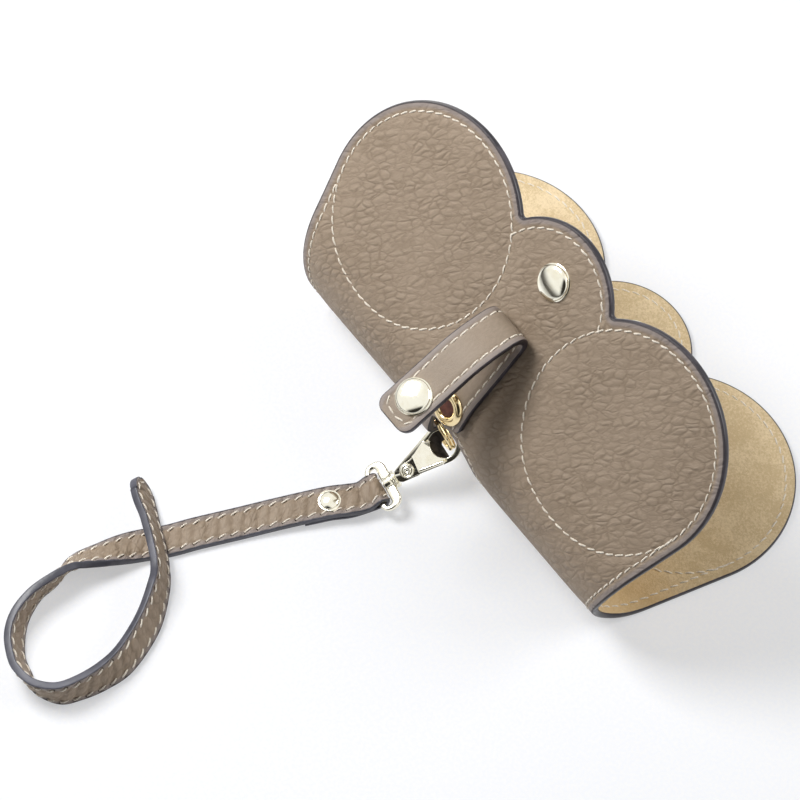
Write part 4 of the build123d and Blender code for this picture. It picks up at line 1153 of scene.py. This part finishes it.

# The swivel hook: a cast body with a jaw, a sprung gate on a rivet, and a grooved collar. Its
# edges are rounded over. The gate's upper face slopes and has a raised rib along the mouth, and
# a floor in the jaw is coloured near black beside the ring, painted shade in the jaw's opening.
hook_face = squared_off((0.307, -0.437, 0.845))
hook_side = np.cross(hook_face, hook_heading)
bar_to_hook = 0.0076
hook_origin = eye_bar + hook_heading * bar_to_hook
jaw_at = (17.4, 0.9)


def on_hook(x, y, z=0.0):
    """A point in millimetres along the hook, across it and up from its middle plane."""
    return hook_origin + (hook_heading * x + hook_side * y + hook_face * z) / 1000


def rounded(piece, angle, width, segments=3, merge=False):
    """Rounds over the edges where a piece's faces turn by more than an angle."""
    shell = bmesh.new()
    shell.from_mesh(piece.data)
    if merge:
        bmesh.ops.remove_doubles(shell, verts=shell.verts, dist=2e-6)
        bmesh.ops.dissolve_limit(shell, angle_limit=math.radians(1.5), verts=shell.verts,
                                 edges=shell.edges)
    rims = [e for e in shell.edges if e.is_manifold and e.calc_face_angle() > math.radians(angle)]
    bmesh.ops.bevel(shell, geom=rims, offset=width, segments=segments, profile=0.5,
                    affect="EDGES", clamp_overlap=True)
    shell.to_mesh(piece.data)
    shell.free()
    return piece


def plate(name, outline, low, high, width, slope=0.0):
    """A rounded plate on the hook: its outline, its heights, and the slope of its upper face."""
    count = len(outline)
    points = [on_hook(x, y, low) for x, y in outline]
    points += [on_hook(x, y, high + slope * (slope_from - y)) for x, y in outline]
    faces = [tuple(range(count)), tuple(range(2 * count - 1, count - 1, -1))]
    faces += [(i, (i + 1) % count, (i + 1) % count + count, i + count) for i in range(count)]
    return rounded(mesh_piece(name, points, faces), 60, width)


for name, node, width, body in (("hook_casting", "hook_body", 0.00048, "hook"),
                                ("gate_sheet", "hook_gate", 0.00014, "gate")):
    cast = bpy.data.objects.new(name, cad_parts[node].data.copy())
    scene.collection.objects.link(cast)
    metal_piece(rounded(cast, 40, width, merge=True), body, node)
gate_slope = 0.168
slope_from = 3.9
plate_line = [(7.3, -1.6), (7.9, 2.75), (12.9, 4.05)]
for share in np.linspace(0, 1, 16):
    angle = math.radians(160 + 92 * share)
    reach = 3.8 + 0.5 * share**3
    plate_line.append((jaw_at[0] + reach * math.cos(angle), jaw_at[1] + reach * math.sin(angle)))
metal_piece(plate("gate_face", plate_line, 2.1, 2.30, 0.00012, gate_slope), "gate")
rib_from = on_hook(7.0, -1.95, 2.65)
rib_to = on_hook(15.6, -3.75, 2.65)
rib_long = float(np.linalg.norm(rib_to - rib_from)) * 1000
rib_end = ((0, 0), (0.35, 0.04), (0.55, 0.3), (0.6, 0.8))
rib_profile = [*rib_end, *((radius, rib_long - height) for radius, height in rib_end[::-1])]
metal_piece(turned("gate_rib", rib_from, rib_to - rib_from, rib_profile, 20), "gate")
# The jaw's floor is a dark sheet whose near-black colour is painted shade in the jaw's opening.
recess = mottled("painted_shade_recess", (500.0, 3.0), (0.35, 0.7), (0.11, 0.095, 0.085),
                 (0.045, 0.038, 0.036), Metallic=1.0, Roughness=0.3)[0]
floor_line = [
    (12.4, -3.0), (16.4, -3.7), (16.4, 0.9), (17.0, 1.8), (20.4, 1.8), (20.9, 0.9), (20.9, -2.6),
    (21.6, -1.8), (22.0, 0.9), (21.2, 3.6), (19.2, 5.2), (17.0, 5.5), (14.8, 4.9), (12.9, 3.2),
    (12.4, 1.0)]
metal_piece(plate("jaw_floor", floor_line, -2.62, -2.35, 0.05), "hook", finish=recess)
head_profile = [(0, 0), (2.0, 0), (2.12, 0.12), (2.12, 0.34), (2.0, 0.5), (1.8, 0.58), (1.62, 0.52),
                (1.5, 0.36), (1.38, 0.36), (1.25, 0.5), (1.0, 0.64), (0.7, 0.66), (0.55, 0.6),
                (0.42, 0.46), (0.3, 0.42), (0, 0.42)]
for side, rise, nodes in ((1, 2.25, ["gate_pivot_rivet"]), (-1, 1.8, [])):
    metal_piece(turned("rivet_head_%d" % side, on_hook(4.2, 0, side * rise), hook_face * side,
                       head_profile, 40), "hook", *nodes)
collar_profile = [
    (0, -1.22), (2.6, -1.22), (2.82, -1.08), (2.86, -0.9), (2.76, -0.74), (2.45, -0.68),
    (2.45, -0.52), (2.76, -0.46), (2.9, -0.3), (2.86, -0.1), (2.65, 0.04), (0, 0.04)]
metal_piece(turned("hook_collar", on_hook(0, 0), hook_heading, collar_profile), "hook")

# The eye: a cast slotted loop with a broad bridge, which turns on the hook's pin in a barrel. The
# wrist strap goes round the bar at its far side.
eye_wide = 8.35
eye_band = 1.7
eye_far = -8.55
eye_slot = (-6.65, -4.55)
eye_near = -1.35
eye_thick = 0.9
eye_corner = 3.2
slot_corner = 0.9


def rounded_loop(wide, low, high, corner, steps=8):
    """A rounded rectangle, wide to each side and from low to high."""
    loop = []
    for turn, (x, y) in enumerate(((1, 1), (-1, 1), (-1, -1), (1, -1))):
        middle = (x * (wide - corner), (high if y > 0 else low) - y * corner)
        loop += [(middle[0] + corner * math.cos(a), middle[1] + corner * math.sin(a))
                 for a in np.linspace(turn * math.pi / 2, (turn + 1) * math.pi / 2, steps)]
    return loop


loops = [rounded_loop(eye_wide, eye_far, eye_near, eye_corner),
         rounded_loop(eye_wide - eye_band, *eye_slot, slot_corner)]
points = [hook_origin + (bar_along * u + hook_heading * v + eye_up * height) / 1000
          for height in (-eye_thick, eye_thick) for loop in loops for u, v in loop]
count = len(loops[0])
faces = [(a * count + i, a * count + (i + 1) % count, b * count + (i + 1) % count, b * count + i)
         for i in range(count) for a, b in ((0, 1), (2, 3), (0, 2), (1, 3))]
swivel_loop = mesh_piece("swivel_loop", points, faces)
face_outwards(swivel_loop)
metal_piece(rounded(swivel_loop, 60, 0.0006, segments=4), "eye", "swivel_eye")
barrel_profile = [
    (1.45, -4.3), (1.9, -4.3), (2.15, -4.15), (2.25, -3.9), (2.25, -3.0), (2.1, -2.9),
    (2.1, -2.75), (2.25, -2.65), (2.3, -1.7), (2.15, -1.45), (1.45, -1.38)]
metal_piece(turned("swivel_barrel", on_hook(0, 0), hook_heading, barrel_profile), "eye")
